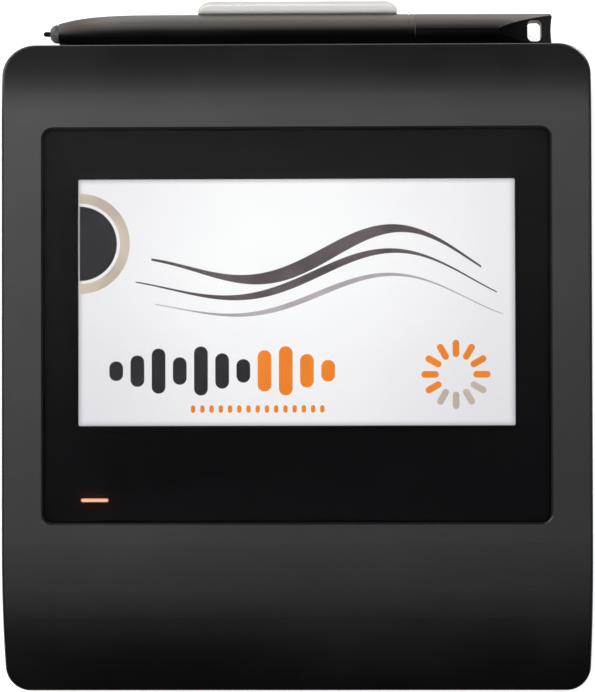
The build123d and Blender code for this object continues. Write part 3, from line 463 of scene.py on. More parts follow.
@dataclass(frozen=True)
class PrintedFilm(Finish):
    """Gloss black print behind the pane, with a painted glow round the lamp where the indicator's light would come
    through.
    """

    lamp: Vector = field(default_factory=Vector)
    painted_glow: Colour = (0.3, 0.02, 0.01)

    def dress(self, bench: NodeBench, shader: bpy.types.Node) -> None:
        """Prints the black with a fine screen, and paints a dim glow of the indicator's light round the lamp."""
        place = bench.place()
        grain = use_effect(bench, Effect.GRAIN, Place=place, Pitch=0.12)
        bench.feed(shader.inputs["Base Color"], bench.mix(grain.outputs["Tone"], self.shade(0.85), self.shade(1.15)))
        bench.feed(shader.inputs["Roughness"], bench.ramp(grain.outputs["Tone"], 0.0, 1.0, 0.25, 0.32))
        away = bench.add("VectorMath", operation="SUBTRACT")
        bench.feed(away.inputs[0], place)
        bench.feed(away.inputs[1], self.lamp)
        spread = bench.add("VectorMath", operation="MULTIPLY")
        bench.feed(spread.inputs[0], away.outputs[0])
        bench.feed(spread.inputs[1], (0.5, 1.0, 1.0))
        reach = bench.add("VectorMath", operation="LENGTH")
        bench.feed(reach.inputs[0], spread.outputs[0])
        # Painted glow: the film emits the indicator's light round the lamp, fading with distance.
        near = bench.ramp(reach.outputs["Value"], 0.0012, 0.0034, 1.0, 0.0)
        bench.feed(shader.inputs["Emission Color"], bench.mix(near, (0, 0, 0), self.painted_glow))
        shader.inputs["Emission Strength"].default_value = 0.035
        shader.inputs["Specular IOR Level"].default_value = 0.0


@dataclass(frozen=True)
class LitScreen(Finish):
    """The lit panel: a white page that shades to lilac grey, with a soft shadow at its frame."""

    centre: Point2 = (0.0, 0.0)
    half_width: float = 55.5
    half_height: float = 31.3
    side: Colour = tone(237, 236, 239)
    foot: Colour = tone(226, 224, 230)
    edge: Colour = (0.4, 0.4, 0.41)

    def dress(self, bench: NodeBench, shader: bpy.types.Node) -> None:
        """Lights the page and shades it towards its borders."""
        place = bench.place()
        split = bench.add("SeparateXYZ", Vector=place)
        across = bench.math("DIVIDE", bench.math("SUBTRACT", split.outputs["X"], self.centre[0] * MM), self.half_width * MM)
        along = bench.math("DIVIDE", bench.math("SUBTRACT", split.outputs["Y"], self.centre[1] * MM), self.half_height * MM)
        aside = bench.math("ABSOLUTE", bench.math("ADD", across, 0.04))
        page = bench.mix(bench.ramp(aside, 0.1, 1.15), self.colour, self.side)
        low = bench.ramp(along, -1.15, 0.3, 0.5, 0.0)
        corner = bench.math("MULTIPLY", bench.ramp(aside, 0.3, 1.1, 0.0, 0.45), bench.ramp(along, -1.0, 0.7, 1.0, 0.0))
        page = bench.mix(bench.math("ADD", low, corner), page, self.foot)
        cloud = bench.ramp(bench.noise(place, 30.0, 2.0), 0.3, 0.7, 0.0, 0.12)
        page = bench.mix(cloud, page, self.foot)
        shadow = bench.math(
            "MULTIPLY",
            bench.math("MULTIPLY", bench.ramp(bench.math("ADD", 1.0, across), -0.012, 0.026, 0.1),
                       bench.ramp(bench.math("SUBTRACT", 1.0, across), -0.016, 0.034, 0.1)),
            bench.math("MULTIPLY", bench.ramp(bench.math("SUBTRACT", 1.0, along), -0.02, 0.046, 0.1),
                       bench.ramp(bench.math("ADD", 1.0, along), -0.025, 0.054, 0.1)),
        )
        bench.feed(shader.inputs["Emission Color"], bench.mix(shadow, self.edge, page))
        shader.inputs["Emission Strength"].default_value = 0.97
        shader.inputs["Specular IOR Level"].default_value = 0.05
        bench.feed(shader.inputs["Roughness"], bench.ramp(bench.noise(place, 0.2), 0.3, 0.7, 0.3, 0.4))
        shader.inputs["Base Color"].default_value = (0.01, 0.01, 0.012, 1)


@dataclass(frozen=True)
class ScreenInk(Finish):
    """A drawn part of the lit page, with soft changes along its strokes."""

    strength: float = 1.0
    spread: float = 0.3

    def dress(self, bench: NodeBench, shader: bpy.types.Node) -> None:
        """Lights the stroke with its colour."""
        swell = bench.ramp(bench.noise(bench.place(), 9.0, 2.0), 0.35, 0.65)
        bench.feed(shader.inputs["Emission Color"],
                   bench.mix(swell, self.shade(1 - self.spread), self.shade(1 + self.spread)))
        shader.inputs["Emission Strength"].default_value = self.strength
        shader.inputs["Specular IOR Level"].default_value = 0.05
        bench.feed(shader.inputs["Roughness"], bench.ramp(swell, 0.0, 1.0, 0.3, 0.4))
        shader.inputs["Base Color"].default_value = (0.01, 0.01, 0.012, 1)


@dataclass(frozen=True)
class LitPipe(Finish):
    """The indicator's light pipe, nearly white in its middle and orange at its edges."""

    centre: Point2 = (0.0, 0.0)
    half_width: float = 3.5
    half_height: float = 0.48
    heart: Colour = (1.0, 0.62, 0.44)
    rim: Colour = (0.09, 0.02, 0.01)

    def dress(self, bench: NodeBench, shader: bpy.types.Node) -> None:
        """Lights the pipe from its middle."""
        split = bench.add("SeparateXYZ", Vector=bench.place())
        across = bench.math("SUBTRACT", split.outputs["X"], self.centre[0] * MM)
        along = bench.math("SUBTRACT", split.outputs["Y"], self.centre[1] * MM)
        beyond = bench.math("SUBTRACT", bench.math("ABSOLUTE", across), (self.half_width - self.half_height) * MM)
        reach = bench.math("POWER", bench.math("MAXIMUM", beyond, 0.0), 2.0)
        reach = bench.math("SQRT", bench.math("ADD", reach, bench.math("POWER", bench.math("ABSOLUTE", along), 2.0)))
        reach = bench.math("DIVIDE", reach, self.half_height * MM)
        lit = bench.mix(bench.ramp(reach, 0.1, 0.85), self.heart, self.colour)
        bench.feed(shader.inputs["Emission Color"], bench.mix(bench.ramp(reach, 0.85, 1.12), lit, self.rim))
        shader.inputs["Emission Strength"].default_value = 0.88
        bench.feed(shader.inputs["Roughness"], bench.ramp(bench.noise(bench.place(), 0.3), 0.3, 0.7, 0.25, 0.4))
        shader.inputs["Base Color"].default_value = (0.08, 0.03, 0.02, 1)


@dataclass(frozen=True)
class SheetMetal(Finish):
    """Rolled, brushed or plated metal."""

    roughness: float = 0.35
    pitch: float = 0.15
    stretch: float = 40.0
    depth: float = 0.002
    wear: float = 0.3

    def dress(self, bench: NodeBench, shader: bpy.types.Node) -> None:
        """Draws the metal's lines out and brightens its edges."""
        place = bench.place()
        lines = use_effect(bench, Effect.BRUSHING, Place=place, Pitch=self.pitch, Stretch=self.stretch)
        worn = use_effect(bench, Effect.WEAR, Place=place, Reach=0.25, Amount=self.wear).outputs["Mask"]
        drawn = bench.mix(lines.outputs["Tone"], self.shade(0.8), self.shade(1.15))
        bench.feed(shader.inputs["Base Color"], bench.mix(worn, drawn, self.shade(1.4)))
        bench.feed(shader.inputs["Roughness"], bench.ramp(lines.outputs["Tone"], 0.3, 0.7, self.roughness - 0.08,
                                                          self.roughness + 0.08))
        shader.inputs["Metallic"].default_value = 1.0
        self.relief(bench, shader, lines.outputs["Height"], self.depth)


@dataclass(frozen=True)
class CircuitLaminate(Finish):
    """A solder-masked circuit board with its tracks and its plated spots."""

    track: Colour = (0.02, 0.12, 0.05)
    plated: Colour = (0.75, 0.6, 0.32)
    pitch: float = 2.2

    def dress(self, bench: NodeBench, shader: bpy.types.Node) -> None:
        """Lays tracks under the mask, and bare plated spots in it."""
        place = bench.place()
        split = bench.add("SeparateXYZ", Vector=place)
        cell = bench.add("TexVoronoi", distance="MANHATTAN", feature="F1", Vector=place, Scale=1 / (self.pitch * MM))
        far = bench.math("FRACT", bench.math("MULTIPLY", cell.outputs["Distance"], 5.0))
        tracks = bench.ramp(bench.math("ABSOLUTE", bench.math("SUBTRACT", far, 0.5)), 0.16, 0.22, 1.0, 0.0)
        spots = bench.ramp(cell.outputs["Distance"], 0.1, 0.13, 1.0, 0.0)
        keep = bench.math("GREATER_THAN", bench.noise(place, 6.0), 0.5)
        bare = bench.math("MULTIPLY", spots, keep)
        base = bench.mix(bench.noise(split.outputs["X"], 12.0), self.shade(0.8), self.shade(1.2))
        masked = bench.mix(tracks, base, self.track)
        bench.feed(shader.inputs["Base Color"], bench.mix(bare, masked, self.plated))
        bench.feed(shader.inputs["Metallic"], bare)
        bench.feed(shader.inputs["Roughness"], bench.ramp(tracks, 0.0, 1.0, 0.3, 0.38))
        self.relief(bench, shader, tracks, 0.02)


@dataclass(frozen=True)
class FlexLead(Finish):
    """An amber film lead with copper lines along it."""

    copper: Colour = (0.6, 0.25, 0.08)
    pitch: float = 0.5

    def dress(self, bench: NodeBench, shader: bpy.types.Node) -> None:
        """Draws the copper lines along the lead."""
        place = bench.place()
        split = bench.add("SeparateXYZ", Vector=place)
        turn = bench.math("FRACT", bench.math("DIVIDE", split.outputs["X"], self.pitch * MM))
        lines = bench.ramp(bench.math("ABSOLUTE", bench.math("SUBTRACT", turn, 0.5)), 0.2, 0.26, 1.0, 0.0)
        clouds = bench.mix(bench.noise(place, 4.0), self.shade(0.85), self.shade(1.15))
        bench.feed(shader.inputs["Base Color"], bench.mix(lines, clouds, self.copper))
        bench.feed(shader.inputs["Roughness"], bench.ramp(lines, 0.0, 1.0, 0.28, 0.34))
        self.relief(bench, shader, lines, 0.01)


@dataclass(frozen=True)
class WoundWire(Finish):
    """Fine enamelled copper wire, wound in close turns along X."""

    pitch: float = 0.25

    def dress(self, bench: NodeBench, shader: bpy.types.Node) -> None:
        """Lays the turns side by side."""
        place = bench.place()
        split = bench.add("SeparateXYZ", Vector=place)
        turn = bench.math("SINE", bench.math("MULTIPLY", split.outputs["X"], math.tau / (self.pitch * MM)))
        crest = bench.ramp(turn, -1.0, 1.0)
        bench.feed(shader.inputs["Base Color"], bench.mix(crest, self.shade(0.55), self.shade(1.1)))
        bench.feed(shader.inputs["Roughness"], bench.ramp(bench.noise(place, 0.8), 0.3, 0.7, 0.25, 0.4))
        shader.inputs["Metallic"].default_value = 1.0
        self.relief(bench, shader, crest, 0.04)


@dataclass(frozen=True)
class StagePaper(Finish):
    """The white sweep that the pad lies on. It keeps the pad's shadow near the pad and is plain white further out."""

    near: float = 0.25
    far: float = 0.8
    lift: float = 0.6

    def dress(self, bench: NodeBench, shader: bpy.types.Node) -> None:
        """Makes dull paper."""
        fibre = bench.noise(bench.place(), 0.8, 4.0)
        bench.feed(shader.inputs["Base Color"], bench.mix(fibre, self.shade(0.97), self.colour))
        shader.inputs["Roughness"].default_value = 0.95
        shader.inputs["Specular IOR Level"].default_value = 0.05

    def surface(self, bench: NodeBench, shader: bpy.types.Node) -> bpy.types.NodeSocket:
        """Adds the white of the background for rays that look at it, and nothing for the light it throws."""
        rays = bench.add("LightPath")
        looked = bench.math("ADD", rays.outputs["Is Camera Ray"], rays.outputs["Is Glossy Ray"])
        looked = bench.math("ADD", looked, rays.outputs["Is Transmission Ray"], clamp=True)
        reach = bench.add("VectorMath", operation="LENGTH")
        bench.feed(reach.inputs[0], bench.place())
        away = bench.ramp(reach.outputs["Value"], self.near, self.far)
        white = bench.add("Emission", Color=(1, 1, 1), Strength=1.0)
        lifted = bench.add("AddShader")
        bench.feed(lifted.inputs[0], shader.outputs[0])
        extra = bench.add("Emission", Color=(1, 1, 1), Strength=bench.math("MULTIPLY", looked, self.lift))
        bench.feed(lifted.inputs[1], extra.outputs[0])
        blend = bench.add("MixShader")
        bench.feed(blend.inputs[0], bench.math("MULTIPLY", away, looked))
        bench.feed(blend.inputs[1], lifted.outputs[0])
        bench.feed(blend.inputs[2], white.outputs[0])
        return blend.outputs[0]


@dataclass(frozen=True)
class SoftPanel(Finish):
    """A feathered light panel over the pad, brightest over the pad's rear and left."""

    strength: float = 5.1

    def dress(self, bench: NodeBench, shader: bpy.types.Node) -> None:
        """Feathers the panel's light across it and along it."""
        split = bench.add("SeparateXYZ", Vector=bench.place())
        across, along = split.outputs["X"], split.outputs["Y"]
        light = bench.math("MULTIPLY", bench.ramp(along, -0.13, 0.06, 0.29, 1.0), bench.ramp(along, -0.95, -0.3, 0.1, 1.0))
        light = bench.math("MULTIPLY", light, bench.ramp(along, 0.06, 0.38, 1.0, 0.04))
        light = bench.math("MULTIPLY", light, bench.ramp(across, -0.4, 0.42, 1.2, 0.4))
        light = bench.math("MULTIPLY", light, bench.ramp(across, -0.85, -0.45, 0.0, 1.0))
        bench.feed(shader.inputs["Emission Color"], bench.mix(light, (0, 0, 0), self.colour))
        shader.inputs["Emission Strength"].default_value = self.strength
        shader.inputs["Base Color"].default_value = (0, 0, 0, 1)
        shader.inputs["Specular IOR Level"].default_value = 0.0


# Meshes


def mesh_piece(name: str, vertices: Iterable[Sequence[float]], faces: Iterable[Sequence[int]],
               sharp: float = 30.0) -> bpy.types.Object:
    """Makes an object from vertices and faces, smooth but for its sharp edges.

    Args:
        name: The piece's name.
        vertices: Its corners, in metres.
        faces: Its faces, as indexes of corners.
        sharp: The least angle of an edge that stays sharp, in degrees.

    Returns:
        The new object, at the origin.
    """
    mesh = bpy.data.meshes.new(name)
    mesh.from_pydata([tuple(corner) for corner in vertices], [], [tuple(face) for face in faces])
    work = bmesh.new()
    work.from_mesh(mesh)
    bmesh.ops.recalc_face_normals(work, faces=work.faces)
    work.to_mesh(mesh)
    work.free()
    mesh.shade_smooth()
    mesh.set_sharp_from_angle(angle=math.radians(sharp))
    made = bpy.data.objects.new(name, mesh)
    bpy.context.scene.collection.objects.link(made)
    return made


def lathe(name: str, profile: Sequence[Point2], origin: Vector, turns: int = 128) -> bpy.types.Object:
    """Turns a closed profile round a line along X.

    Args:
        name: The piece's name.
        profile: Places along the line and radii, in millimetres. A radius of 0 isn't used.
        origin: Where the line starts, in metres.
        turns: The number of steps round the line.

    Returns:
        The new object.
    """
    vertices = []
    for place, radius in profile:
        for step in range(turns):
            angle = math.tau * step / turns
            offset = Vector((place, radius * math.cos(angle), radius * math.sin(angle)))
            vertices.append(origin + offset * MM)
    faces = []
    count = len(profile)
    for row in range(count):
        for step in range(turns):
            beside = (step + 1) % turns
            after = (row + 1) % count
            faces.append((row * turns + step, row * turns + beside, after * turns + beside, after * turns + step))
    return mesh_piece(name, vertices, faces, 28.0)


def finish_node(node: str, finish: Finish) -> None:
    """Gives a CAD node its finish.

    Args:
        node: The node's name.
        finish: Its finish.
    """
    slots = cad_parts[node].material_slots
    for slot in slots:
        slot.material = finish.material()
    LOG.info("dressed %s with %s", node, finish.name)


def seat(piece: bpy.types.Object, body: str, finish: Finish) -> bpy.types.Object:
    """Dresses a new piece and lets it ride on its body.

    Args:
        piece: The new piece.
        body: The CAD body that carries it.
        finish: Its finish.

    Returns:
        The same piece.
    """
    piece.data.materials.append(finish.material())
    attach(piece, body)
    LOG.info("placed %s on %s", piece.name, body)
    return piece


# Sub-assemblies


@dataclass
class FacePlane:
    """The tilted top face. Places are measured up the face from its middle, and out of it."""

    middle_y: float = 2.009
    middle_z: float = 29.488
    tilt: float = 7.0

    def at(self, across: float, up: float, out: float) -> Vector:
        """Returns a place on the face in the frame, in metres.

        Args:
            across: Millimetres to the right.
            up: Millimetres up the face.
            out: Millimetres out of the face, negative inside.

        Returns:
            The place.
        """
        lean = math.radians(self.tilt)
        deep = self.middle_y + up * math.cos(lean) - out * math.sin(lean)
        high = self.middle_z + up * math.sin(lean) + out * math.cos(lean)
        return Vector((across, deep, high)) * MM


@dataclass
class Housing:
    """The black housing, its base, feet, plate and the metal at its edges."""

    satin: MouldedPlastic = MouldedPlastic("housing_satin", tone(9, 9, 9), roughness=0.33, gloss=0.3, pitch=0.35,
                                           depth=0.003, spread=0.06, wear=0.8, wear_reach=1.0, polish=0.12,
                                           dust=0.02)
    textured: MouldedPlastic = MouldedPlastic("base_texture", tone(30, 30, 30), roughness=0.62, pitch=0.8, depth=0.02,
                                              spread=0.15, wear=0.4, dust=0.05)
    rubber: SoftRubber = SoftRubber("rubber_soft", tone(38, 38, 38), roughness=0.85, gloss=0.3, pitch=0.5, depth=0.01)
    label: SheetMetal = SheetMetal("plate_satin_silver", tone(170, 170, 172), roughness=0.42, pitch=0.2, stretch=25.0)
    steel: SheetMetal = SheetMetal("plain_steel", tone(150, 150, 152), roughness=0.38)
    screw: SheetMetal = SheetMetal("fastener_steel", tone(140, 140, 145), roughness=0.3, pitch=0.1, stretch=4.0)

    def build(self) -> None:
        """Dresses every node of the housing."""
        finish_node("top_housing", self.satin)
        finish_node("base_shell", self.textured)
        finish_node("rubber_feet", self.rubber)
        finish_node("rating_plate", self.label)
        for node in ("usb_socket", "lock_plate", "ballast_plate"):
            finish_node(node, self.steel)
        for node in ("housing_screws", "carrier_screws", "board_screws", "ballast_screws", "holder_screws",
                     "lock_screws", "led_screws"):
            finish_node(node, self.screw)


@dataclass
class ScreenStack:
    """The pane and all that lies under it."""

    face: FacePlane
    window_up: float = 5.9
    window_half_width: float = 55.5
    window_half_height: float = 31.35
    lamp_x: float = -51.375
    lamp_up: float = -44.3
    lamp_depth: float = 1.4

    def build(self) -> None:
        """Dresses every node of the stack."""
        middle = self.face.at(0.0, self.window_up, -3.1) / MM
        lamp = self.face.at(self.lamp_x, self.lamp_up, -self.lamp_depth)
        half_height = self.window_half_height * math.cos(math.radians(self.face.tilt))
        pane = self.face.at(0.0, 0.0, -0.8) / MM
        finish_node("cover_glass", ClearGlass("pane_glass", (0.98, 0.985, 0.985), middle=(0.0, pane.y)))
        finish_node("glass_border_film", PrintedFilm("film_print", tone(5, 5, 7), lamp=lamp))
        finish_node("lcd_panel", LitScreen("lit_page", (1.0, 1.0, 1.0), centre=(0.0, middle.y),
                                           half_width=self.window_half_width, half_height=half_height))
        finish_node("lcd_gasket", SoftRubber("foam_strip", tone(32, 32, 33), roughness=0.95, gloss=0.2, pores=0.2))
        finish_node("light_guide", MouldedPlastic("guide_acrylic", tone(228, 230, 232), roughness=0.12, pitch=1.0,
                                                  depth=0.01, spread=0.03, wear=0.1, dust=0.0))
        finish_node("backlight_tray", SheetMetal("tray_metal", tone(186, 187, 188), roughness=0.3))
        finish_node("sensor_shield", SheetMetal("shield_steel", tone(165, 166, 168), roughness=0.34, pitch=0.3))
        finish_node("carrier_frame", MouldedPlastic("carrier_plastic", tone(70, 70, 72), roughness=0.6, pitch=0.3,
                                                    depth=0.008, spread=0.2))
        board = CircuitLaminate("board_laminate", tone(14, 82, 42))
        for node in ("sensor_board", "led_board", "main_board", "pen_circuit_board"):
            finish_node(node, board)
        lead = FlexLead("amber_lead", tone(176, 104, 34))
        for node in ("lcd_flex", "sensor_flex", "led_flex"):
            finish_node(node, lead)
        finish_node("led_light_pipe", LitPipe("lit_pipe", tone(240, 148, 96), centre=(self.lamp_x, lamp.y / MM)))
        finish_node("status_led", MouldedPlastic("led_lens", tone(236, 214, 190), roughness=0.2, pitch=0.2, wear=0.0,
                                                 dust=0.0))
        finish_node("board_chips", MouldedPlastic("chip_resin", tone(32, 32, 34), roughness=0.55, pitch=0.12,
                                                  depth=0.004, spread=0.2))
        finish_node("board_connectors", MouldedPlastic("connector_nylon", tone(222, 218, 205), roughness=0.45,
                                                       pitch=0.25, spread=0.04))


@dataclass
class SigningPage:
    """What the screen shows: a generic waiting page of flowing lines, a half disc, a dial and a level meter."""

    face: FacePlane
    depth: float = 3.06
    thickness: float = 0.02
    left_edge: float = -55.3
    dark: ScreenInk = ScreenInk("page_dark", tone(20, 20, 23), spread=0.12)
    ink: ScreenInk = ScreenInk("page_ink", tone(84, 75, 77), spread=0.25)
    orange: ScreenInk = ScreenInk("page_orange", tone(238, 128, 14), spread=0.05)
    beige: ScreenInk = ScreenInk("page_beige", tone(196, 182, 166), spread=0.12)
    grey: ScreenInk = ScreenInk("page_grey", tone(176, 168, 174), spread=0.1)

    def sheet(self, name: str, bands: Sequence[Band], finish: Finish, closed: bool = False, layer: int = 0) -> None:
        """Makes a thin flat piece of strips, each between two lines on the page.

        Args:
            name: The piece's name.
            bands: Each strip's two lines with as many points, across and up the face, in millimetres.
            finish: The piece's finish.
            closed: Whether each strip's end joins its start.
            layer: How many pieces lie under it.
        """
        low = -self.depth + 2 * layer * self.thickness
        high = low + self.thickness
        vertices, faces = [], []
        for left, right in bands:
            base, count = len(vertices), len(left)
            for first, second in zip(left, right):
                for (across, up), out in ((first, low), (second, low), (second, high), (first, high)):
                    vertices.append(self.face.at(across, up, out))
            for row in range(count if closed else count - 1):
                here, after = base + 4 * row, base + 4 * ((row + 1) % count)
                for side in range(4):
                    beside = (side + 1) % 4
                    faces.append((here + side, here + beside, after + beside, after + side))
            if not closed:
                last = base + 4 * (count - 1)
                faces += [(base, base + 1, base + 2, base + 3), (last, last + 3, last + 2, last + 1)]
        seat(mesh_piece(name, vertices, faces), "pad", finish)

    def wave(self, height: float, swing: float, shift: float, weight: float, start: float, end: float) -> Band:
        """Returns a flowing strip whose weight swells and thins.

        Args:
            height: How far up the face its middle is.
            swing: How far it swings up and down.
            shift: Where its first crest is, in turns.
            weight: Its greatest width.
            start: Where it starts across the face.
            end: Where it ends.

        Returns:
            The strip's two lines.
        """
        left, right = [], []
        steps = 160
        for step in range(steps + 1):
            share = step / steps
            across = start + (end - start) * share
            angle = math.tau * (1.15 * share + shift)
            up = height + swing * math.sin(angle) * (0.35 + 0.65 * share) + 3.0 * share
            half = 0.5 * weight * (0.14 + 0.86 * math.sin(math.pi * share) ** 0.8 * (0.62 + 0.38 * math.cos(angle)))
            left.append((across, up + half))
            right.append((across, up - half))
        return left, right

    def arc(self, middle: Point2, outer: float, inner: float, start: float, end: float, steps: int = 72) -> Band:
        """Returns a strip between two arcs about one middle.

        Args:
            middle: The arcs' middle.
            outer: The outer radius.
            inner: The inner radius.
            start: The first angle, in turns.
            end: The last angle, in turns.
            steps: The number of steps along it.

        Returns:
            The strip's two lines.
        """
        left, right = [], []
        for step in range(steps + 1):
            angle = math.tau * (start + (end - start) * step / steps)
            for line, radius in ((left, outer), (right, inner)):
                line.append((middle[0] + radius * math.cos(angle), middle[1] + radius * math.sin(angle)))
        return left, right

    def capsule(self, across: float, middle: float, width: float, height: float, steps: int = 10) -> Band:
        """Returns an upright strip with rounded ends.

        Args:
            across: Where it stands.
            middle: How far up the face its middle is.
            width: Its width.
            height: Its height.
            steps: The number of steps round each end.

        Returns:
            The strip's two lines.
        """
        radius = width / 2
        reach = height / 2 - radius
        turns = [math.pi / 2 * step / steps for step in range(steps + 1)]
        rows = [(middle - reach - radius * math.cos(turn), radius * math.sin(turn)) for turn in turns]
        rows += [(middle + reach + radius * math.sin(turn), radius * math.cos(turn)) for turn in turns]
        halves = [(up, max(half, 0.01)) for up, half in rows]
        return [(across - half, up) for up, half in halves], [(across + half, up) for up, half in halves]

    def spoke(self, middle: Point2, inner: float, outer: float, width: float, turn: float) -> Band:
        """Returns a strip with rounded ends that points away from a middle.

        Args:
            middle: The middle of the dial.
            inner: Where the strip starts, from the middle.
            outer: Where it ends.
            width: Its width.
            turn: Its direction, in turns from the right.

        Returns:
            The strip's two lines.
        """
        along, aside = math.cos(math.tau * turn), math.sin(math.tau * turn)
        lines = self.capsule(0.0, (inner + outer) / 2, width, outer - inner, 6)
        left, right = ([(middle[0] + along * out - aside * off, middle[1] + aside * out + along * off)
                        for off, out in line] for line in lines)
        return left, right

    def build(self) -> None:
        """Draws the page."""
        self.sheet("page_wave_broad", [self.wave(15.5, 8.5, 0.42, 4.0, -37.0, 47.0)], self.ink)
        self.sheet("page_wave_fine", [self.wave(10.5, 8.0, 0.46, 2.2, -41.0, 51.0)], self.ink, layer=1)
        self.sheet("page_wave_soft", [self.wave(5.5, 7.0, 0.5, 1.5, -36.0, 52.5)], self.grey, layer=2)
        corner = (self.left_edge, 21.0)
        self.sheet("page_half_disc", [self.arc(corner, 9.5, 0.01, -0.25, 0.25)], self.dark)
        self.sheet("page_half_ring", [self.arc(corner, 12.8, 10.3, -0.25, 0.25)], self.beige)
        spokes = [self.spoke((40.5, -12.5), 4.4, 8.8, 1.7, turn / 12) for turn in range(12)]
        self.sheet("page_dial_lit", spokes[:8], self.orange)
        self.sheet("page_dial_dim", spokes[8:], self.beige)
        heights = (5.0, 8.0, 11.5, 7.0, 12.5, 9.0, 6.0, 10.5, 12.5, 8.5, 5.5)
        bars = [self.capsule(-46.0 + 5.4 * index, -11.5, 3.5, height) for index, height in enumerate(heights)]
        self.sheet("page_meter_dark", bars[:7], self.dark)
        self.sheet("page_meter_orange", bars[7:], self.orange)
        dashes = [self.capsule(-26.4 + 2.35 * index, -21.2, 1.1, 1.9, 5) for index in range(15)]
        self.sheet("page_dashes", dashes, self.orange)


@dataclass
class Pen:
    """The pen: its turned barrel replaces the solid, and its other nodes keep their solids."""

    length: float = 132.5
    axis_y: float = 80.74
    axis_z: float = 18.0
    radius: float = 4.9
    start: float = 4.1
    start_radius: float = 2.7
    grip_length: float = 34.0
    grip_power: float = 4.5
    seam: float = 96.85
    seam_radius: float = 4.86
    seam_chamfer: float = 0.12
    groove_back: float = 1.6
    groove_width: float = 0.3
    groove_depth: float = 0.15
    bore: float = 3.4
    bore_start: float = 14.0
    front_bore: float = 2.1
    grip_steps: int = 40
    satin: SatinCoat = SatinCoat("pen_satin", tone(7, 7, 7), roughness=0.45, gloss=0.02, pitch=0.25, depth=0.002,
                                 spread=0.06, wear=0.15, dust=0.01)
    # The end cap's gloss is a darker copy of the barrel's, and it starts at a greater slant: painted shade on the pen's
    # right end.
    painted_shade_cap: SatinCoat = SatinCoat("cap_satin_painted_shade", tone(7, 7, 7), roughness=0.45, gloss=0.02, pitch=0.25, depth=0.002,
                               spread=0.06, wear=0.15, dust=0.01, slant_start=0.018, slant_full=0.16,
                               slant_colour=(0.115, 0.104, 0.098))
    collar: MouldedPlastic = MouldedPlastic("collar_satin", tone(84, 83, 85), roughness=0.3, gloss=0.15, pitch=0.2,
                                            depth=0.002, spread=0.05, dust=0.0)
    point: MouldedPlastic = MouldedPlastic("nib_satin", tone(12, 13, 13), roughness=0.55, gloss=0.06, pitch=0.1,
                                           depth=0.004, wear=0.4, dust=0.0)
    ferrite: MouldedPlastic = MouldedPlastic("ferrite_core", tone(74, 74, 78), roughness=0.6, gloss=0.7, pitch=0.1,
                                             depth=0.01, spread=0.3)
    cell: MouldedPlastic = MouldedPlastic("cell_plastic", tone(90, 90, 94), roughness=0.5, pitch=0.2)

    def profile(self) -> list[Point2]:
        """Returns the barrel's closed profile, from its front over its skin to its seam and back inside."""
        skin = []
        for step in range(self.grip_steps + 1):
            share = (step / self.grip_steps) ** 1.6
            swell = (self.radius - self.start_radius) * (1 - share) ** self.grip_power
            skin.append((self.start + share * self.grip_length, self.radius - swell))
        groove = self.seam - self.groove_back
        half = self.groove_width / 2
        skin += [
            (groove - half, self.seam_radius),
            (groove - half, self.seam_radius - self.groove_depth),
            (groove + half, self.seam_radius - self.groove_depth),
            (groove + half, self.seam_radius),
            (self.seam - self.seam_chamfer, self.seam_radius),
            (self.seam, self.seam_radius - self.seam_chamfer),
            (self.seam, self.bore),
            (self.bore_start, self.bore),
            (self.bore_start, self.front_bore),
            (self.start, self.front_bore),
        ]
        return skin

    def build(self) -> None:
        """Turns the barrel and dresses the pen's nodes."""
        origin = Vector((-self.length / 2, self.axis_y, self.axis_z)) * MM
        barrel = lathe("pen_turned_barrel", self.profile(), origin)
        seat(barrel, "pen", self.satin)
        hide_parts("pen_barrel")
        finish_node("pen_barrel", self.satin)
        finish_node("pen_end_cap", self.painted_shade_cap)
        finish_node("pen_tip_collar", self.collar)
        finish_node("pen_nib", self.point)
        finish_node("pen_ferrite_core", self.ferrite)
        finish_node("pen_coil", WoundWire("coil_copper", tone(196, 112, 66)))
        finish_node("pen_pressure_cell", self.cell)


@dataclass
class PenHolder:
    """The light tray that carries the pen along the rear edge."""

    plastic: MouldedPlastic = MouldedPlastic("holder_pale", tone(229, 228, 224), roughness=0.4, pitch=0.3, depth=0.003,
                                             spread=0.02, wear=0.1, dust=0.02)

    def build(self) -> None:
        """Dresses the holder."""
        finish_node("pen_holder", self.plastic)


@dataclass
class SoftBox:
    """One large lamp."""

    name: str
    place: tuple[float, float, float]
    size: Point2
    power: float
    colour: Colour = (1.0, 1.0, 1.0)
    aim: tuple[float, float, float] = (0.0, 0.0, 0.02)
    diffuse: bool = True
    glossy: bool = True

    def build(self) -> None:
        """Hangs the lamp and turns it to its aim."""
        lamp = bpy.data.lights.new(self.name, "AREA")
        lamp.shape = "RECTANGLE"
        lamp.size, lamp.size_y = self.size
        lamp.energy = self.power
        lamp.color = self.colour
        made = bpy.data.objects.new(self.name, lamp)
        bpy.context.scene.collection.objects.link(made)
        made.location = self.place
        made.visible_camera = False
        made.visible_diffuse, made.visible_glossy = self.diffuse, self.glossy
        made.rotation_euler = (Vector(self.aim) - Vector(self.place)).to_track_quat("-Z", "Y").to_euler()
        LOG.info("hung %s", self.name)


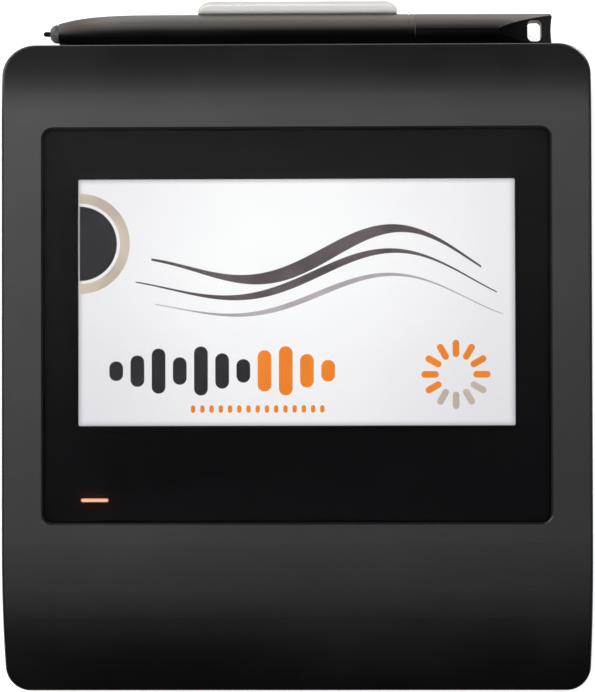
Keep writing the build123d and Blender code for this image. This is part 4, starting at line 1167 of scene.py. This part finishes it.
@dataclass
class Studio:
    """The white sweep, the lamps, the dim room and the camera."""

    floor_radius: float = 2.4
    sweep_radius: float = 4.2
    sweep_height: float = 0.75
    lens: float = 166.5
    camera_place: tuple[float, float, float] = (15.6, -120.3, 831.8)
    camera_turn: tuple[float, float, float] = (8.295, 1.093, 0.009)
    room: float = 0.03
    panel_corners: tuple[Point2, Point2] = ((-0.9, -1.2), (0.9, 1.0))
    panel_height: float = 0.63
    card_foot: float = -0.092
    card_y: float = -0.125
    card_size: Point2 = (0.5, 0.032)
    card_paint: MouldedPlastic = MouldedPlastic("card_black", tone(12, 12, 12), roughness=0.9, gloss=0.1, pitch=2.0)
    panel_light: SoftPanel = SoftPanel("panel_light", (1.0, 0.995, 1.0))
    paper: StagePaper = StagePaper("sweep_paper", (0.82, 0.82, 0.82))
    lamps: tuple[SoftBox, ...] = (
        SoftBox("fill_softbox", (0.0, -0.1, 0.9), (0.8, 0.8), 1.6, glossy=False),
        SoftBox("left_rim", (-0.6, 0.42, 0.36), (0.45, 0.7), 2.4, diffuse=False),
        SoftBox("right_rim", (0.42, 0.77, 0.05), (0.14, 0.05), 6.0, diffuse=False),
        SoftBox("rear_strip", (-0.85, 0.9, 0.3), (1.5, 0.58), 10.0, (1.0, 0.95, 0.93), diffuse=False),
    )

    def floor(self) -> None:
        """Makes the sweep: a flat round floor that curves up far behind the pad on every side."""
        steps, turns = 16, 96
        rows = [(0.0, 0.0), (0.6, 0.0), (self.floor_radius, 0.0)]
        for step in range(1, steps + 1):
            angle = math.pi / 2 * step / steps
            rows.append((self.floor_radius + (self.sweep_radius - self.floor_radius) * math.sin(angle),
                         self.sweep_height * (1 - math.cos(angle))))
        vertices = [(0.0, 0.0, 0.0)]
        for radius, height in rows[1:]:
            for turn in range(turns):
                angle = math.tau * turn / turns
                vertices.append((radius * math.cos(angle), radius * math.sin(angle), height))
        faces = [(0, 1 + turn, 1 + (turn + 1) % turns) for turn in range(turns)]
        for row in range(len(rows) - 2):
            for turn in range(turns):
                beside = (turn + 1) % turns
                first = 1 + row * turns
                faces.append((first + turn, first + turns + turn, first + turns + beside, first + beside))
        sweep = mesh_piece("white_sweep", vertices, faces, 60.0)
        sweep.data.materials.append(self.paper.material())

    def card(self) -> None:
        """Stands a low dark card before the pad, which only the front roll's gloss sees."""
        wide, tall = self.card_size
        rows = [(self.card_foot, MM), (self.card_y, MM), (self.card_y, tall)]
        corners = [(across, along, high) for along, high in rows for across in (-wide / 2, wide / 2)]
        card = mesh_piece("dark_card", corners, [(0, 1, 3, 2), (2, 3, 5, 4)])
        card.data.materials.append(self.card_paint.material())
        card.visible_camera = card.visible_diffuse = card.visible_transmission = card.visible_shadow = False

    def panel(self) -> None:
        """Hangs the feathered light panel over the pad, out of the camera's sight."""
        (left, front), (right, rear) = self.panel_corners
        corners = [(left, front, self.panel_height), (right, front, self.panel_height),
                   (right, rear, self.panel_height), (left, rear, self.panel_height)]
        panel = mesh_piece("light_panel", corners, [(0, 1, 2, 3)])
        panel.data.materials.append(self.panel_light.material())
        panel.visible_camera = panel.visible_shadow = False

    def world(self) -> None:
        """Makes the dim room."""
        world = bpy.data.worlds.new("dim_room")
        bpy.context.scene.world = world
        world.use_nodes = True
        world.node_tree.nodes.clear()
        bench = NodeBench(world.node_tree)
        back = bench.add("Background", Color=(1, 1, 1), Strength=self.room)
        bench.feed(bench.add("OutputWorld").inputs["Surface"], back.outputs[0])

    def camera(self) -> None:
        """Sets the camera at the photograph's viewing angle."""
        data = bpy.data.cameras.new("photo_camera")
        data.lens = self.lens
        data.sensor_width = 36.0
        data.clip_start, data.clip_end = 0.01, 20.0
        made = bpy.data.objects.new("photo_camera", data)
        bpy.context.scene.collection.objects.link(made)
        made.location = Vector(self.camera_place) * MM
        made.rotation_euler = Euler([math.radians(turn) for turn in self.camera_turn], "XYZ")
        bpy.context.scene.camera = made

    def build(self) -> None:
        """Sets the whole stage."""
        self.floor()
        self.card()
        self.panel()
        self.world()
        self.camera()
        for lamp in self.lamps:
            lamp.build()
        bpy.context.scene.view_settings.view_transform = "Standard"


def main() -> None:
    """Builds the sub-assemblies in order, then the stage."""
    logging.basicConfig(level=logging.INFO, format="%(name)s: %(message)s")
    face = FacePlane()
    for part in (Housing(), ScreenStack(face), SigningPage(face), Pen(), PenHolder(), Studio()):
        part.build()
        LOG.info("built %s", type(part).__name__)


if __name__ == "__main__":
    main()
